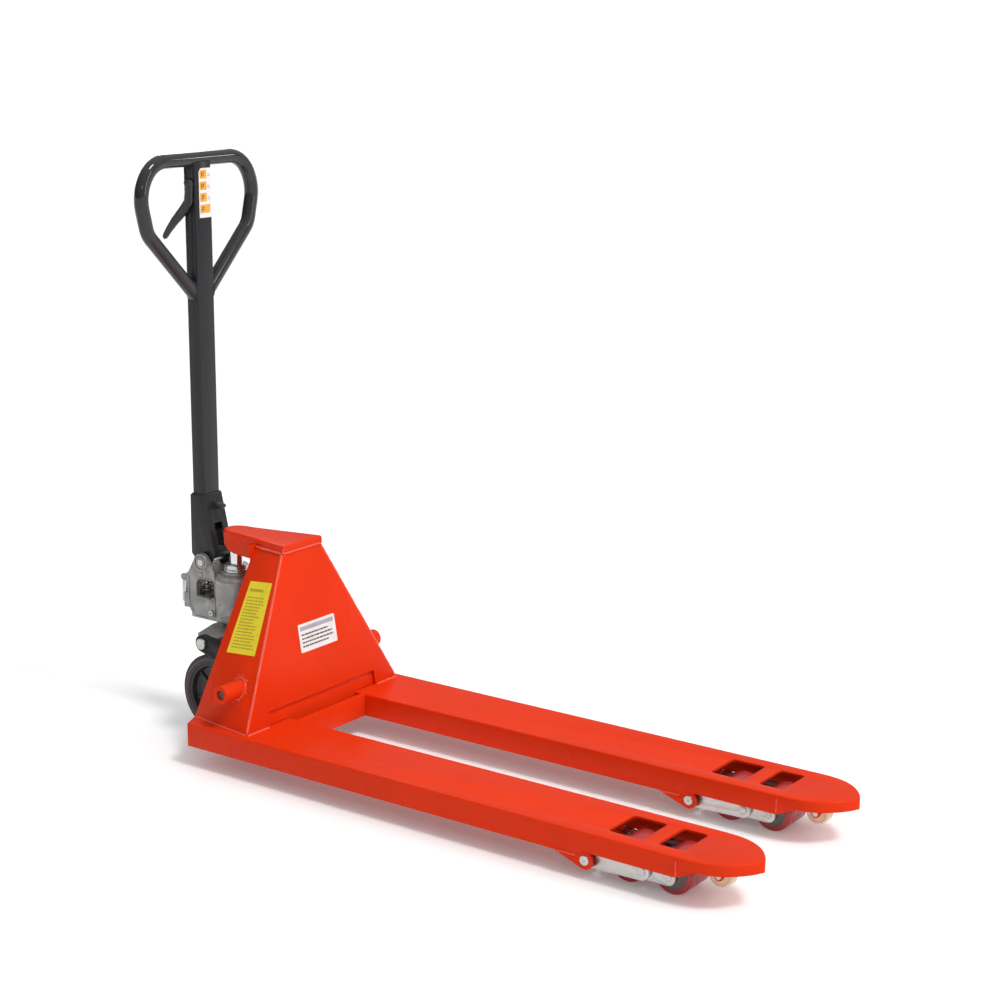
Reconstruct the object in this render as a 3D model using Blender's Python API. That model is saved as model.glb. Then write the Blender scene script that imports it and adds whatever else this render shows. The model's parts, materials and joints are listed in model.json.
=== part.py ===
"""Hand pallet truck, 540 x 1150 class, standing lowered on its wheels.

Metres. +X points from the handle to the fork tips, +Y to the truck's left, +Z up.
The origin is on the floor, under the middle of the whole truck.
Right is the -Y side, seen by a person who holds the handle and faces the forks.
"""
import math

import bmesh
import bpy
from mathutils import Matrix, Vector

# Driving dimensions
SKIN = 0.0003                # gap left between pieces that touch
OVERALL_WIDTH = 0.540
FORK_WIDTH = 0.160
FORK_TOP = 0.095             # height of the load face, lowered
TOWER_SEAT_X = -0.3780       # behind this line the deck is let down by SKIN for the tower's foot
FORK_DEPTH = 0.050
FRONT_SKIRT_DEPTH = 0.040    # the skirt in front of the lug pin is cut shallower
FORK_SHEET = 0.005
FORK_REAR = -0.5385           # at the outer edge; the heel is cut back slantwise from here
HEEL_LENGTH = 0.0175
HEEL_WIDTH = 0.040
FORK_SHOULDER = 0.660        # where the straight sides end
FORK_TIP = 0.7965
NOSE_DEPTH = 0.022
BEAM_FRONT = -0.3565         # front face of the beam between the forks
FORK_Y = (OVERALL_WIDTH - FORK_WIDTH) / 2

TOWER_FOOT_X = -0.3815
TOWER_HEAD_X = -0.4405
TOWER_REAR_X = -0.5315       # rear edge of the side sheets at the head
TOWER_HEEL_X = -0.5560       # and where they stand on the forks
TOE_IN = 0.16                # the side sheets close towards the rear by this share
TOWER_HEAD_Z = 0.441
TOWER_FOOT_Y = 0.2545
TOWER_HEAD_Y = 0.0625
TOWER_SHEET = 0.005
KICK_HALF = 0.179            # half width of the recess at the tower's foot
KICK_TOP = 0.127
CAP_TOP = 0.457

STEER_X = -0.632             # steering and lifting axis
WHEEL_X = -0.638
WHEEL_RADIUS = 0.090
WHEEL_WIDTH = 0.050
WHEEL_Y = 0.0575
RAM_RADIUS = 0.016
PUMP_FLOOR = 0.245           # underside of the pump casting
RESERVOIR_RADIUS = 0.052
RESERVOIR_TOP = 0.360
PLUNGER_X = -0.7245
PLUNGER_RADIUS = 0.0080

HANDLE_PIN = Vector((-0.699, 0.0, 0.376))
COLUMN_X = -0.718
COLUMN_DEPTH = 0.034
COLUMN_WIDTH = 0.052
COLUMN_FOOT = 0.440
LOOP_HEIGHT = 1.262          # centreline of the loop's flat top
LOOP_TUBE = 0.0155
TRIGGER_PIVOT = Vector((-0.713, 0.0, 1.213))
VALVE_PIVOT = Vector((-0.787, 0.0, 0.322))

SHAFT = Vector((-0.4495, 0.0, 0.173))         # rocker shaft across the tower
BOSS_END = 0.2610             # outer end of the tubes that hold the shaft
THRUST_PIN = Vector((STEER_X, 0.0, 0.218))    # where the rocker carries the pump
LEVER_PIN = Vector((-0.4702, 0.0, 0.1009))    # rear end of the push rods
LUG_PIN = Vector((0.4665, 0.0, 0.0386))       # pivot of the load arms
ARM_ROD_PIN = Vector((0.4458, 0.0, 0.0726))   # front end of the push rods
REAR_ROLLER_X = 0.5345
FRONT_ROLLER_X = 0.6305
ROLLER_RADIUS = 0.040
BOGIE_PIN = Vector(((REAR_ROLLER_X + FRONT_ROLLER_X) / 2, 0.0, 0.043))
ENTRY_PIN = Vector((0.714, 0.0, 0.050))
ENTRY_RADIUS = 0.024
EAR_RADIUS = 0.018           # head of the plates that hold the lug pins
EAR_REAR = 0.402

SIDES = (("right", -1), ("left", 1))


# Scene and material helpers

def clear_scene():
    for item in list(bpy.data.objects):
        bpy.data.objects.remove(item, do_unlink=True)


def material(name, colour, roughness, metallic):
    made = bpy.data.materials.new(name)
    made.use_nodes = True
    shader = made.node_tree.nodes["Principled BSDF"]
    shader.inputs["Base Color"].default_value = (*colour, 1.0)
    shader.inputs["Roughness"].default_value = roughness
    shader.inputs["Metallic"].default_value = metallic
    return made


clear_scene()
RED = material("red_paint", (0.72, 0.045, 0.018), 0.32, 0.0)
BLACK_PAINT = material("dark_paint", (0.045, 0.045, 0.048), 0.30, 0.0)
SILVER = material("silver_paint", (0.32, 0.32, 0.31), 0.42, 0.6)
ZINC = material("zinc_plate", (0.62, 0.62, 0.60), 0.35, 0.9)
STEEL = material("bright_steel", (0.55, 0.54, 0.52), 0.30, 1.0)
CHROME = material("chrome", (0.75, 0.75, 0.76), 0.08, 1.0)
BLACK_TYRE = material("black_tyre", (0.020, 0.020, 0.021), 0.50, 0.0)
RED_TREAD = material("red_tread", (0.19, 0.012, 0.014), 0.42, 0.0)
NYLON = material("cream_nylon", (0.78, 0.68, 0.50), 0.45, 0.0)
DARK_IRON = material("dark_iron", (0.030, 0.029, 0.028), 0.55, 0.5)


# Outline helpers: lists of 2D points

def arc(centre, radius, first, last, steps):
    """Points along an arc, angles in degrees."""
    points = []
    for step in range(steps + 1):
        angle = math.radians(first + (last - first) * step / steps)
        points.append((centre[0] + radius * math.cos(angle), centre[1] + radius * math.sin(angle)))
    return points


def circle(centre, radius, count=16):
    return arc(centre, radius, 0, 360 - 360 / count, count - 1)


def rectangle(low, high):
    return [(low[0], low[1]), (high[0], low[1]), (high[0], high[1]), (low[0], high[1])]


def hull(*groups):
    """The convex outline around some groups of points."""
    points = sorted({(round(x, 6), round(y, 6)) for group in groups for x, y in group})

    def half(ordered):
        chain = []
        for point in ordered:
            while len(chain) > 1:
                (ax, ay), (bx, by) = chain[-2], chain[-1]
                if (bx - ax) * (point[1] - ay) - (by - ay) * (point[0] - ax) > 1e-10:
                    break
                chain.pop()
            chain.append(point)
        return chain[:-1]

    return half(points) + half(points[::-1])


def rounded(corners, steps=4, closed=True):
    """Round a chain of (x, y, radius) corners."""
    points = []
    count = len(corners)
    for index, (x, y, radius) in enumerate(corners):
        if radius <= 0 or (not closed and index in (0, count - 1)):
            points.append((x, y))
            continue
        here = Vector((x, y))
        before = (Vector(corners[index - 1][:2]) - here).normalized()
        after = (Vector(corners[(index + 1) % count][:2]) - here).normalized()
        half_angle = before.angle(after) / 2
        middle = here + (before + after).normalized() * radius / math.sin(half_angle)
        start = here + before * radius / math.tan(half_angle) - middle
        end = here + after * radius / math.tan(half_angle) - middle
        turn = start.angle_signed(end)
        for step in range(steps + 1):
            angle = -turn * step / steps
            spoke = Matrix.Rotation(angle, 2) @ start
            points.append(tuple(middle + spoke))
    return points


def mirrored(half):
    """Close an outline that is given for +Y only, from one end on the axis to the other."""
    return half + [(x, -y) for x, y in reversed(half) if y > 1e-6]


def shifted(points, dx, dy):
    return [(x + dx, y + dy) for x, y in points]


# Solid helpers

def add_object(name, mesh_data, surface):
    mesh = bpy.data.meshes.new(name)
    mesh_data.to_mesh(mesh)
    mesh_data.free()
    made = bpy.data.objects.new(name, mesh)
    bpy.context.scene.collection.objects.link(made)
    if surface is not None:
        mesh.materials.append(surface)
    return made


def prism(name, outline, axis, low, high, surface=None):
    """Push an outline along X, Y or Z; its points are in the other two axes, in that order."""
    shape = bmesh.new()
    rings = []
    for level in (low, high):
        ring = []
        for a, b in outline:
            place = {"X": (level, a, b), "Y": (a, level, b), "Z": (a, b, level)}[axis]
            ring.append(shape.verts.new(place))
        rings.append(ring)
    shape.faces.new(rings[0])
    shape.faces.new(rings[1])
    for index in range(len(outline)):
        after = (index + 1) % len(outline)
        shape.faces.new((rings[0][index], rings[0][after], rings[1][after], rings[1][index]))
    bmesh.ops.recalc_face_normals(shape, faces=shape.faces)
    return add_object(name, shape, surface)


def box(name, low, high, surface=None):
    return prism(name, rectangle(low[:2], high[:2]), "Z", low[2], high[2], surface)


def turned(name, profile, centre, axis, surface=None, segments=20):
    """Turn a profile of (radius, height) about an axis through centre.

    A profile that starts and ends on the axis is a solid; any other one closes on itself.
    """
    shape = bmesh.new()
    rings = []
    for radius, height in profile:
        ring = []
        for index in range(segments if radius > 0 else 1):
            angle = 2 * math.pi * index / segments
            a = radius * math.cos(angle)
            b = radius * math.sin(angle)
            place = {"X": (height, a, b), "Y": (a, height, b), "Z": (a, b, height)}[axis]
            ring.append(shape.verts.new(Vector(place) + Vector(centre)))
        rings.append(ring)
    spans = len(rings) if profile[0][0] > 0 else len(rings) - 1
    for row in range(spans):
        first = rings[row]
        second = rings[(row + 1) % len(rings)]
        for index in range(segments):
            after = (index + 1) % segments
            corners = [first[index % len(first)], first[after % len(first)],
                       second[after % len(second)], second[index % len(second)]]
            shape.faces.new(list(dict.fromkeys(corners)))
    bmesh.ops.recalc_face_normals(shape, faces=shape.faces)
    made = add_object(name, shape, surface)
    smooth(made)
    return made


def rod(name, radius, centre, axis, low, high, surface=None, segments=14):
    """A round bar along an axis, from low to high, measured from the centre."""
    profile = [(0, low), (radius, low), (radius, high), (0, high)]
    return turned(name, profile, centre, axis, surface, segments)


def swept(name, path, section, sides, surface=None):
    """Sweep round sections along 3D points: one radius for a bar, two for an open tube."""
    shape = bmesh.new()
    shells = []
    for radius in section:
        rings = []
        side = None
        for index, point in enumerate(path):
            ahead = path[min(index + 1, len(path) - 1)]
            behind = path[max(index - 1, 0)]
            tangent = (ahead - behind).normalized()
            if side is None:
                side = tangent.orthogonal().normalized()
            side = (side - tangent * side.dot(tangent)).normalized()
            other = tangent.cross(side)
            ring_points = []
            for step in range(sides):
                angle = 2 * math.pi * step / sides
                offset = side * math.cos(angle) + other * math.sin(angle)
                ring_points.append(shape.verts.new(point + offset * radius))
            rings.append(ring_points)
        for first, second in zip(rings, rings[1:]):
            for step in range(sides):
                after = (step + 1) % sides
                shape.faces.new((first[step], first[after], second[after], second[step]))
        shells.append(rings)
    for end in (0, -1):
        if len(shells) == 1:
            shape.faces.new(shells[0][end])
        else:
            for step in range(sides):
                after = (step + 1) % sides
                shape.faces.new((shells[0][end][step], shells[0][end][after],
                                 shells[1][end][after], shells[1][end][step]))
    bmesh.ops.recalc_face_normals(shape, faces=shape.faces)
    made = add_object(name, shape, surface)
    smooth(made)
    return made


def slab(name, corners, thickness, surface=None):
    """A sheet whose outer face has these corners, anticlockwise seen from outside."""
    points = [Vector(corner) for corner in corners]
    inward = -(points[1] - points[0]).cross(points[2] - points[0]).normalized() * thickness
    shape = bmesh.new()
    outer = [shape.verts.new(point) for point in points]
    inner = [shape.verts.new(point + inward) for point in points]
    shape.faces.new(outer)
    shape.faces.new(inner)
    for index in range(len(points)):
        after = (index + 1) % len(points)
        shape.faces.new((outer[index], outer[after], inner[after], inner[index]))
    bmesh.ops.recalc_face_normals(shape, faces=shape.faces)
    return add_object(name, shape, surface)


def smooth(made):
    made.data.shade_smooth()
    made.data.set_sharp_from_angle(angle=math.radians(35))


def combine(target, tools, operation):
    for tool in tools:
        step = target.modifiers.new(operation.lower(), "BOOLEAN")
        step.operation = operation
        step.solver = "EXACT"
        step.object = tool
        target.modifiers.new("triangles", "TRIANGULATE")
        tool.hide_render = True
        tool.display_type = "WIRE"
    return target


def cut(target, *tools):
    return combine(target, tools, "DIFFERENCE")


def merge_flats(target):
    """Dissolve the edges that Boolean steps leave across flat faces."""
    flat = target.modifiers.new("merge_flats", "DECIMATE")
    flat.decimate_type = "DISSOLVE"
    flat.angle_limit = math.radians(0.2)


def fuse(target, *tools):
    return combine(target, tools, "UNION")


def pivot(name, place, parent=None):
    """An empty on a joint's axis; the pieces that turn or slide there are its children."""
    made = bpy.data.objects.new(name, None)
    bpy.context.scene.collection.objects.link(made)
    made["place"] = tuple(place)
    made.location = Vector(place)
    if parent is not None:
        made.parent = parent
        made.location = Vector(place) - Vector(parent["place"])
    return made


def hang(parent, *pieces):
    """Parent pieces that are modelled in world coordinates to a pivot."""
    for piece in pieces:
        piece.parent = parent
        piece.matrix_parent_inverse = Matrix.Translation(-Vector(parent["place"]))


def at_side(point, y):
    return Vector((point[0], y, point[2]))


# Chassis

def nose_outline(inset):
    """Half outline of the fork's nose, rounding from the shoulder to the tip."""
    points = []
    length = FORK_TIP - inset - FORK_SHOULDER
    for step in range(13):
        along = math.sin(math.pi / 2 * step / 12)
        half = (FORK_WIDTH / 2 - inset) * (1 - along ** 3) ** (5 / 6)
        points.append((FORK_SHOULDER + length * along, half))
    return points


def fork(name, side):
    """Pressed channel, open below, with a shallow nose and two windows over the load rollers."""
    y = side * FORK_Y
    half = FORK_WIDTH / 2
    floor = FORK_TOP - FORK_DEPTH
    deck = FORK_TOP - FORK_SHEET
    throat = (0.690, 0.018)

    def full_depth(inset, rear):
        outline = [(rear - HEEL_LENGTH, half - HEEL_WIDTH), (rear, half - inset),
                   (FORK_SHOULDER - inset / 3, half - inset),
                   (throat[0] - inset, throat[1] - inset / 2)]
        return shifted(mirrored(outline), 0, y)

    channel = prism(name, full_depth(0, FORK_REAR), "Z", floor, FORK_TOP, RED)
    nose_half = [(FORK_SHOULDER - 0.03, half)] + nose_outline(0)
    nose = prism(name + "_nose", shifted(mirrored(nose_half), 0, y), "Z",
                 FORK_TOP - NOSE_DEPTH, FORK_TOP)
    fuse(channel, nose)
    hollow = prism(name + "_hollow", full_depth(FORK_SHEET, FORK_REAR - 0.01), "Z",
                   floor - 0.01, deck)
    nose_hollow = prism(name + "_nose_hollow", shifted(mirrored(
        [(0.697, 0.012), (0.684, 0.055)] + nose_outline(FORK_SHEET)[3:]), 0, y), "Z",
        floor - 0.01, deck)
    cutters = [hollow, nose_hollow]
    for index, (start, end) in enumerate(((0.4955, 0.5700), (0.6020, 0.6570))):
        corners = [(start, -0.0465, 0.008), (end, -0.0465, 0.008), (end, 0.0465, 0.008),
                   (start, 0.0465, 0.008)]
        window = prism(f"{name}_window_{index}", shifted(rounded(corners, 3), 0, y), "Z",
                       deck - 0.01, FORK_TOP + 0.01)
        cutters.append(window)
    low, high = sorted((side * 0.1695, side * 0.2020))
    slot = box(name + "_rod_slot", (-0.505, low, deck - 0.01), (-0.398, high, FORK_TOP + 0.01))
    cutters.append(slot)
    cutters.append(box(name + "_tower_seat", (FORK_REAR - 0.03, y - half - 0.01, FORK_TOP - SKIN),
                       (TOWER_SEAT_X, y + half + 0.01, FORK_TOP + 0.01)))
    cutters.append(box(name + "_front_skirt", (LUG_PIN.x, y - half - 0.01, floor - 0.01),
                       (FORK_TIP, y + half + 0.01, FORK_TOP - FRONT_SKIRT_DEPTH)))
    cutters.append(rod(name + "_ear_notch", EAR_RADIUS + SKIN, at_side(LUG_PIN, y), "Y", -0.09, 0.09,
                       None, 24))
    cut(channel, *cutters)

    brackets = []
    bracket_shape = hull(circle((ENTRY_PIN.x, ENTRY_PIN.z), 0.009, 16),
                         [(0.699, deck + 0.002), (0.7560, deck + 0.002)])
    for edge in (-1, 1):
        low, high = sorted((y + edge * 0.0150, y + edge * 0.0190))
        bracket = prism(f"{name}_bracket_{edge}", bracket_shape, "Y", low, high)
        brackets.append(bracket)
    fuse(channel, *brackets)
    entry_bore = rod(name + "_entry_bore", 0.0043, at_side(ENTRY_PIN, y), "Y", -0.03, 0.03, None, 16)
    cut(channel, entry_bore)


def hinge_ear(name, y, edge):
    """Plate under a fork's skirt, with a round head let into the skirt for the lug pin."""
    top = FORK_TOP - FORK_DEPTH - SKIN
    outer = y + edge * (FORK_WIDTH / 2 - 0.0004)
    low, high = sorted((outer, outer - edge * 0.0060))
    head = circle((LUG_PIN.x, LUG_PIN.z), EAR_RADIUS, 24)
    plate = prism(name, hull(head, [(EAR_REAR, top), (EAR_REAR, top - 0.002)]), "Y", low, high, RED)
    above = box(name + "_above", (EAR_REAR - 0.01, low - 0.01, top),
                (LUG_PIN.x + 0.03, high + 0.01, top + 0.03))
    disc = prism(name + "_head", head, "Y", low, high)
    cut(plate, above)
    fuse(plate, disc)
    cut(plate, rod(name + "_bore", 0.0103, at_side(LUG_PIN, y), "Y", -0.09, 0.09, None, 20))


def cross_beam():
    """Angle between the forks; the open strip behind it shows as a dark slot."""
    reach = FORK_Y - FORK_WIDTH / 2 - SKIN
    outline = [(BEAM_FRONT - 0.0125, FORK_TOP), (BEAM_FRONT - 0.0125, FORK_TOP - 0.005),
               (BEAM_FRONT - 0.005, FORK_TOP - 0.005), (BEAM_FRONT - 0.005, FORK_TOP - FORK_DEPTH),
               (BEAM_FRONT, FORK_TOP - FORK_DEPTH), (BEAM_FRONT, FORK_TOP)]
    prism("cross_beam", outline, "Y", -reach, reach, RED)


def tower_half_width(z):
    share = (z - FORK_TOP) / (TOWER_HEAD_Z - FORK_TOP)
    return TOWER_FOOT_Y + (TOWER_HEAD_Y - TOWER_FOOT_Y) * share


def tower_face_x(z):
    share = (z - FORK_TOP) / (TOWER_HEAD_Z - FORK_TOP)
    return TOWER_FOOT_X + (TOWER_HEAD_X - TOWER_FOOT_X) * share


def trim_foot(sheet):
    """Cut a leaning sheet level where it stands on the forks."""
    block = box(sheet.name + "_foot", (-0.60, -0.30, 0.04), (-0.30, 0.30, FORK_TOP))
    return cut(sheet, block)


def tower_front():
    """Leaning front sheet; its lower edge is cut away over the recessed kick plate."""
    foot = FORK_TOP
    corners = []
    for y, z in ((-tower_half_width(foot), foot), (-KICK_HALF, foot), (-KICK_HALF, KICK_TOP),
                 (KICK_HALF, KICK_TOP), (KICK_HALF, foot), (tower_half_width(foot), foot),
                 (TOWER_HEAD_Y, TOWER_HEAD_Z), (-TOWER_HEAD_Y, TOWER_HEAD_Z)):
        corners.append((tower_face_x(z), y, z))
    trim_foot(slab("tower_front", corners, TOWER_SHEET, RED))


def tower_kick_plate():
    """Recessed lower sheet, which also closes the space between the forks."""
    foot = FORK_TOP + 0.0013
    gap = FORK_Y - FORK_WIDTH / 2 - SKIN
    back = 0.0062
    corners = []
    for y, z in ((-gap, 0.050), (gap, 0.050), (gap, foot), (KICK_HALF + 0.012, foot),
                 (KICK_HALF + 0.012, 0.142), (-KICK_HALF - 0.012, 0.142),
                 (-KICK_HALF - 0.012, foot), (-gap, foot)):
        corners.append((tower_face_x(z) - back, y, z))
    slab("tower_kick_plate", corners, 0.004, RED)


def tower_side(name, side):
    """Side sheet, leaning and toeing inwards, with the tube that holds the rocker shaft."""
    front_gap = TOWER_SHEET * 1.03 + 0.0013
    corners = []
    for x, z in ((TOWER_HEEL_X, FORK_TOP), (TOWER_FOOT_X - front_gap, FORK_TOP),
                 (TOWER_HEAD_X - front_gap, TOWER_HEAD_Z), (TOWER_REAR_X, TOWER_HEAD_Z)):
        behind = tower_face_x(z) - front_gap - x
        corners.append((x, TOE_IN * behind - tower_half_width(z), z))
    if side > 0:
        corners = [(x, -y, z) for x, y, z in reversed(corners)]
    sheet = trim_foot(slab(name, corners, TOWER_SHEET, RED))
    boss = rod(name + "_boss", 0.0195, SHAFT, "Y", min(side * 0.186, side * BOSS_END),
               max(side * 0.186, side * BOSS_END), None, 24)
    bore = rod(name + "_bore", 0.0105, SHAFT, "Y", -0.27, 0.27, None, 24)
    fuse(sheet, boss)
    cut(sheet, bore)


def cap_outline(inset, front):
    """Half outline of the cap: wide at the front, narrow and rounded over the ram."""
    half = [(front, 0.0645 - inset), (TOWER_REAR_X, 0.046 - inset), (-0.604, 0.0325 - inset)]
    nose_length = 0.053 - inset
    for step in range(1, 7):
        angle = math.pi / 2 * step / 6
        x = -0.604 - nose_length * math.sin(angle) ** 0.8
        half.append((x, max((0.0325 - inset) * math.cos(angle) ** 0.8, 0.0)))
    half[-1] = (half[-1][0], 0.0)
    return half


def tower_cap():
    """Folded cover: a lid over the tower, deeper behind it where it holds the ram's seat."""
    lid = prism("tower_cap", mirrored(cap_outline(0, TOWER_HEAD_X + 0.0025)), "Z",
                TOWER_HEAD_Z + SKIN, CAP_TOP, RED)
    skirt = prism("cap_skirt", mirrored([(TOWER_REAR_X - 0.0012, 0.0455)]
                  + cap_outline(0, TOWER_REAR_X)[2:]), "Z", 0.407, CAP_TOP - 0.006)
    half = cap_outline(0.0045, TOWER_REAR_X - 0.006)
    hollow = prism("cap_hollow", mirrored([(TOWER_REAR_X - 0.006, 0.0405)] + half[2:]), "Z",
                   0.395, CAP_TOP - 0.005)
    fuse(lid, skirt)
    cut(lid, hollow)


def chassis():
    for name, side in SIDES:
        y = side * FORK_Y
        fork("fork_" + name, side)
        hinge_ear(f"hinge_ear_{name}_outer", y, side)
        hinge_ear(f"hinge_ear_{name}_inner", y, -side)
        tower_side("tower_side_" + name, side)
        rod("lug_pin_" + name, 0.010, at_side(LUG_PIN, y), "Y", -0.0812, 0.0812, ZINC, 20)
        rod("entry_pin_" + name, 0.004, at_side(ENTRY_PIN, y), "Y", -0.0210, 0.0210, ZINC, 12)
    cross_beam()
    tower_front()
    tower_kick_plate()
    tower_cap()
    turned("ram_socket", [(0.0, CAP_TOP - 0.0053), (0.0190, CAP_TOP - 0.0053), (0.0190, 0.440),
                          (0.0175, 0.428), (0.0135, 0.428), (0.010, 0.4345), (0.0, 0.436)],
           (STEER_X, 0, 0), "Z", SILVER)
    turned("lift_ram", [(0, 0.262), (0.013, 0.262), (RAM_RADIUS, 0.265), (RAM_RADIUS, 0.424),
                        (0.0125, 0.4275), (0.0095, 0.4335), (0.0, 0.4355)],
           (STEER_X, 0, 0), "Z", CHROME)


def entry_rollers():
    for name, side in SIDES:
        centre = at_side(ENTRY_PIN, side * FORK_Y)
        axle = pivot("entry_axle_" + name, centre)
        profile = [(0.0047, -0.0135), (0.020, -0.0135), (ENTRY_RADIUS, -0.0105),
                   (ENTRY_RADIUS, 0.0105), (0.020, 0.0135), (0.0047, 0.0135)]
        hang(axle, turned("entry_roller_" + name, profile, centre, "Y", NYLON))


# Rocker, push rods and load wheels

def rocker():
    """Tube on the cross shaft, with two arms to the pump and two levers to the push rods."""
    centre = pivot("rocker_axis", SHAFT)
    hub = (SHAFT.x, SHAFT.z)
    tube = rod("rocker", 0.022, SHAFT, "Y", -0.184, 0.184, DARK_IRON, 24)
    arm_shape = hull(circle(hub, 0.029), circle((THRUST_PIN.x, THRUST_PIN.z), 0.019))
    lever_shape = hull(circle(hub, 0.0225), circle((LEVER_PIN.x, LEVER_PIN.z), 0.012))
    limbs = []
    for name, side in SIDES:
        arm = prism("rocker_arm_" + name, arm_shape, "Y", side * 0.1050, side * 0.1195)
        lever = prism("rocker_lever_" + name, lever_shape, "Y", side * 0.1735, side * 0.1835)
        limbs += [arm, lever]
    fuse(tube, *limbs)
    bores = [rod("rocker_bore", 0.0103, SHAFT, "Y", -0.2, 0.2, None, 24)]
    bores.append(rod("thrust_bores", 0.0113, THRUST_PIN, "Y", -0.13, 0.13, None, 24))
    lever_slot = hull(circle((LEVER_PIN.x, LEVER_PIN.z), 0.0076, 16),
                      circle((LEVER_PIN.x + 0.0024, LEVER_PIN.z + 0.0087), 0.0076, 16))
    for name, side in SIDES:
        low, high = sorted((side * 0.165, side * 0.190))
        bores.append(prism("lever_slot_" + name, lever_slot, "Y", low, high))
    cut(tube, *bores)
    shaft = rod("rocker_shaft", 0.010, SHAFT, "Y", -0.2555, 0.2555, STEEL, 24)
    hang(centre, tube, shaft)
    for name, side in SIDES:
        profile = [(0, 0.086), (0.010, 0.086), (0.011, 0.087), (0.011, 0.1198), (0.0125, 0.1198),
                   (0.0125, 0.1235), (0.0115, 0.1245), (0, 0.1245)]
        profile = [(radius, side * height) for radius, height in profile]
        hang(centre, turned("thrust_pin_" + name, profile, THRUST_PIN, "Y", ZINC, 24))


def load_arm(name, side):
    """Two side plates on a tube round the lug pin, with a horn for the push rod."""
    y = side * FORK_Y
    centre = at_side(LUG_PIN, y)
    arm_pivot = pivot("arm_axis_" + name, centre)
    tube = rod("load_arm_" + name, 0.0150, centre, "Y", -0.0694, 0.0694, ZINC, 24)
    plate_shape = hull(circle((LUG_PIN.x, LUG_PIN.z), 0.0152), circle((BOGIE_PIN.x, BOGIE_PIN.z), 0.017),
                       [(0.490, 0.0575), (0.500, 0.0235)])
    horn_shape = hull(circle((LUG_PIN.x, LUG_PIN.z), 0.0152),
                      circle((ARM_ROD_PIN.x, ARM_ROD_PIN.z), 0.0095))
    limbs = []
    for edge in (-1, 1):
        low, high = sorted((y + edge * 0.0630, y + edge * 0.0695))
        limbs.append(prism(f"arm_plate_{name}_{edge}", plate_shape, "Y", low, high))
        low, high = sorted((y + edge * 0.0110, y + edge * 0.0180))
        limbs.append(prism(f"arm_horn_{name}_{edge}", horn_shape, "Y", low, high))
    fuse(tube, *limbs)
    cut(tube,
        rod("arm_bore_" + name, 0.0103, centre, "Y", -0.08, 0.08, None, 24),
        rod("horn_bore_" + name, 0.0062, at_side(ARM_ROD_PIN, y), "Y", -0.03, 0.03, None, 24),
        rod("bogie_bore_" + name, 0.0083, at_side(BOGIE_PIN, y), "Y", -0.08, 0.08, None, 24))
    hang(arm_pivot, tube)
    return arm_pivot


def push_rod(name, side, arm_pivot):
    """Bar under the fork: an eye with its cross pin at the arm, a cranked plate at the rocker."""
    y = side * FORK_Y
    front = at_side(ARM_ROD_PIN, y)
    rod_pivot = pivot("rod_axis_" + name, front, arm_pivot)
    bar = rod("push_rod_" + name, 0.0090, front, "X", -0.905, -0.004, DARK_IRON, 16)
    eye = rod("rod_eye_" + name, 0.0094, front, "Y", -0.0100, 0.0100)
    front_pin = rod("rod_front_pin_" + name, 0.0058, front, "Y", -0.0190, 0.0190, None, 16)
    crank_shape = hull(circle((LEVER_PIN.x, LEVER_PIN.z), 0.013), [(-0.4832, 0.066), (-0.4572, 0.066)])
    crank = prism("rod_crank_" + name, crank_shape, "Y", y - 0.005, y + 0.005)
    low, high = sorted((y - side * 0.018, y - side * 0.001))
    rear_pin = rod("rod_rear_pin_" + name, 0.0060, at_side(LEVER_PIN, 0), "Y", low, high, None, 16)
    fuse(bar, eye, front_pin, crank, rear_pin)
    hang(rod_pivot, bar)


def bogie(name, side, arm_pivot):
    """Two links joined by a thin web between the rollers, with stub pins in the load arm."""
    y = side * FORK_Y
    centre = at_side(BOGIE_PIN, y)
    bogie_pivot = pivot("bogie_axis_" + name, centre, arm_pivot)
    web = box("bogie_" + name, (BOGIE_PIN.x - 0.004, y - 0.0520, 0.0280),
              (BOGIE_PIN.x + 0.004, y + 0.0520, 0.0520), ZINC)
    link_shape = hull(circle((REAR_ROLLER_X, ROLLER_RADIUS), 0.0165),
                      circle((FRONT_ROLLER_X, ROLLER_RADIUS), 0.0165))
    links = []
    for edge in (-1, 1):
        low, high = sorted((y + edge * 0.0500, y + edge * 0.0570))
        links.append(prism(f"bogie_link_{name}_{edge}", link_shape, "Y", low, high))
        low, high = sorted((edge * 0.0550, edge * 0.0705))
        links.append(rod(f"bogie_stub_{name}_{edge}", 0.0080, centre, "Y", low, high, None, 18))
    fuse(web, *links)
    hang(bogie_pivot, web)
    for end, x in (("rear", REAR_ROLLER_X), ("front", FRONT_ROLLER_X)):
        place = Vector((x, y, ROLLER_RADIUS))
        cut(web, rod(f"axle_bore_{name}_{end}", 0.0078, place, "Y", -0.08, 0.08))
        axle = rod(f"roller_axle_{name}_{end}", 0.0075, place, "Y", -0.0578, 0.0578, ZINC)
        hang(bogie_pivot, axle)
        roller_pivot = pivot(f"roller_axis_{name}_{end}", place, bogie_pivot)
        profile = [(0.0080, -0.0490), (0.0260, -0.0490), (0.0260, -0.0400), (0.0375, -0.0400),
                   (ROLLER_RADIUS, -0.0375), (ROLLER_RADIUS, 0.0375), (0.0375, 0.0400),
                   (0.0260, 0.0400), (0.0260, 0.0490), (0.0080, 0.0490)]
        hang(roller_pivot, turned(f"load_roller_{name}_{end}", profile, place, "Y", RED_TREAD, 24))


# Pump, steering and lifting unit

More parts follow.
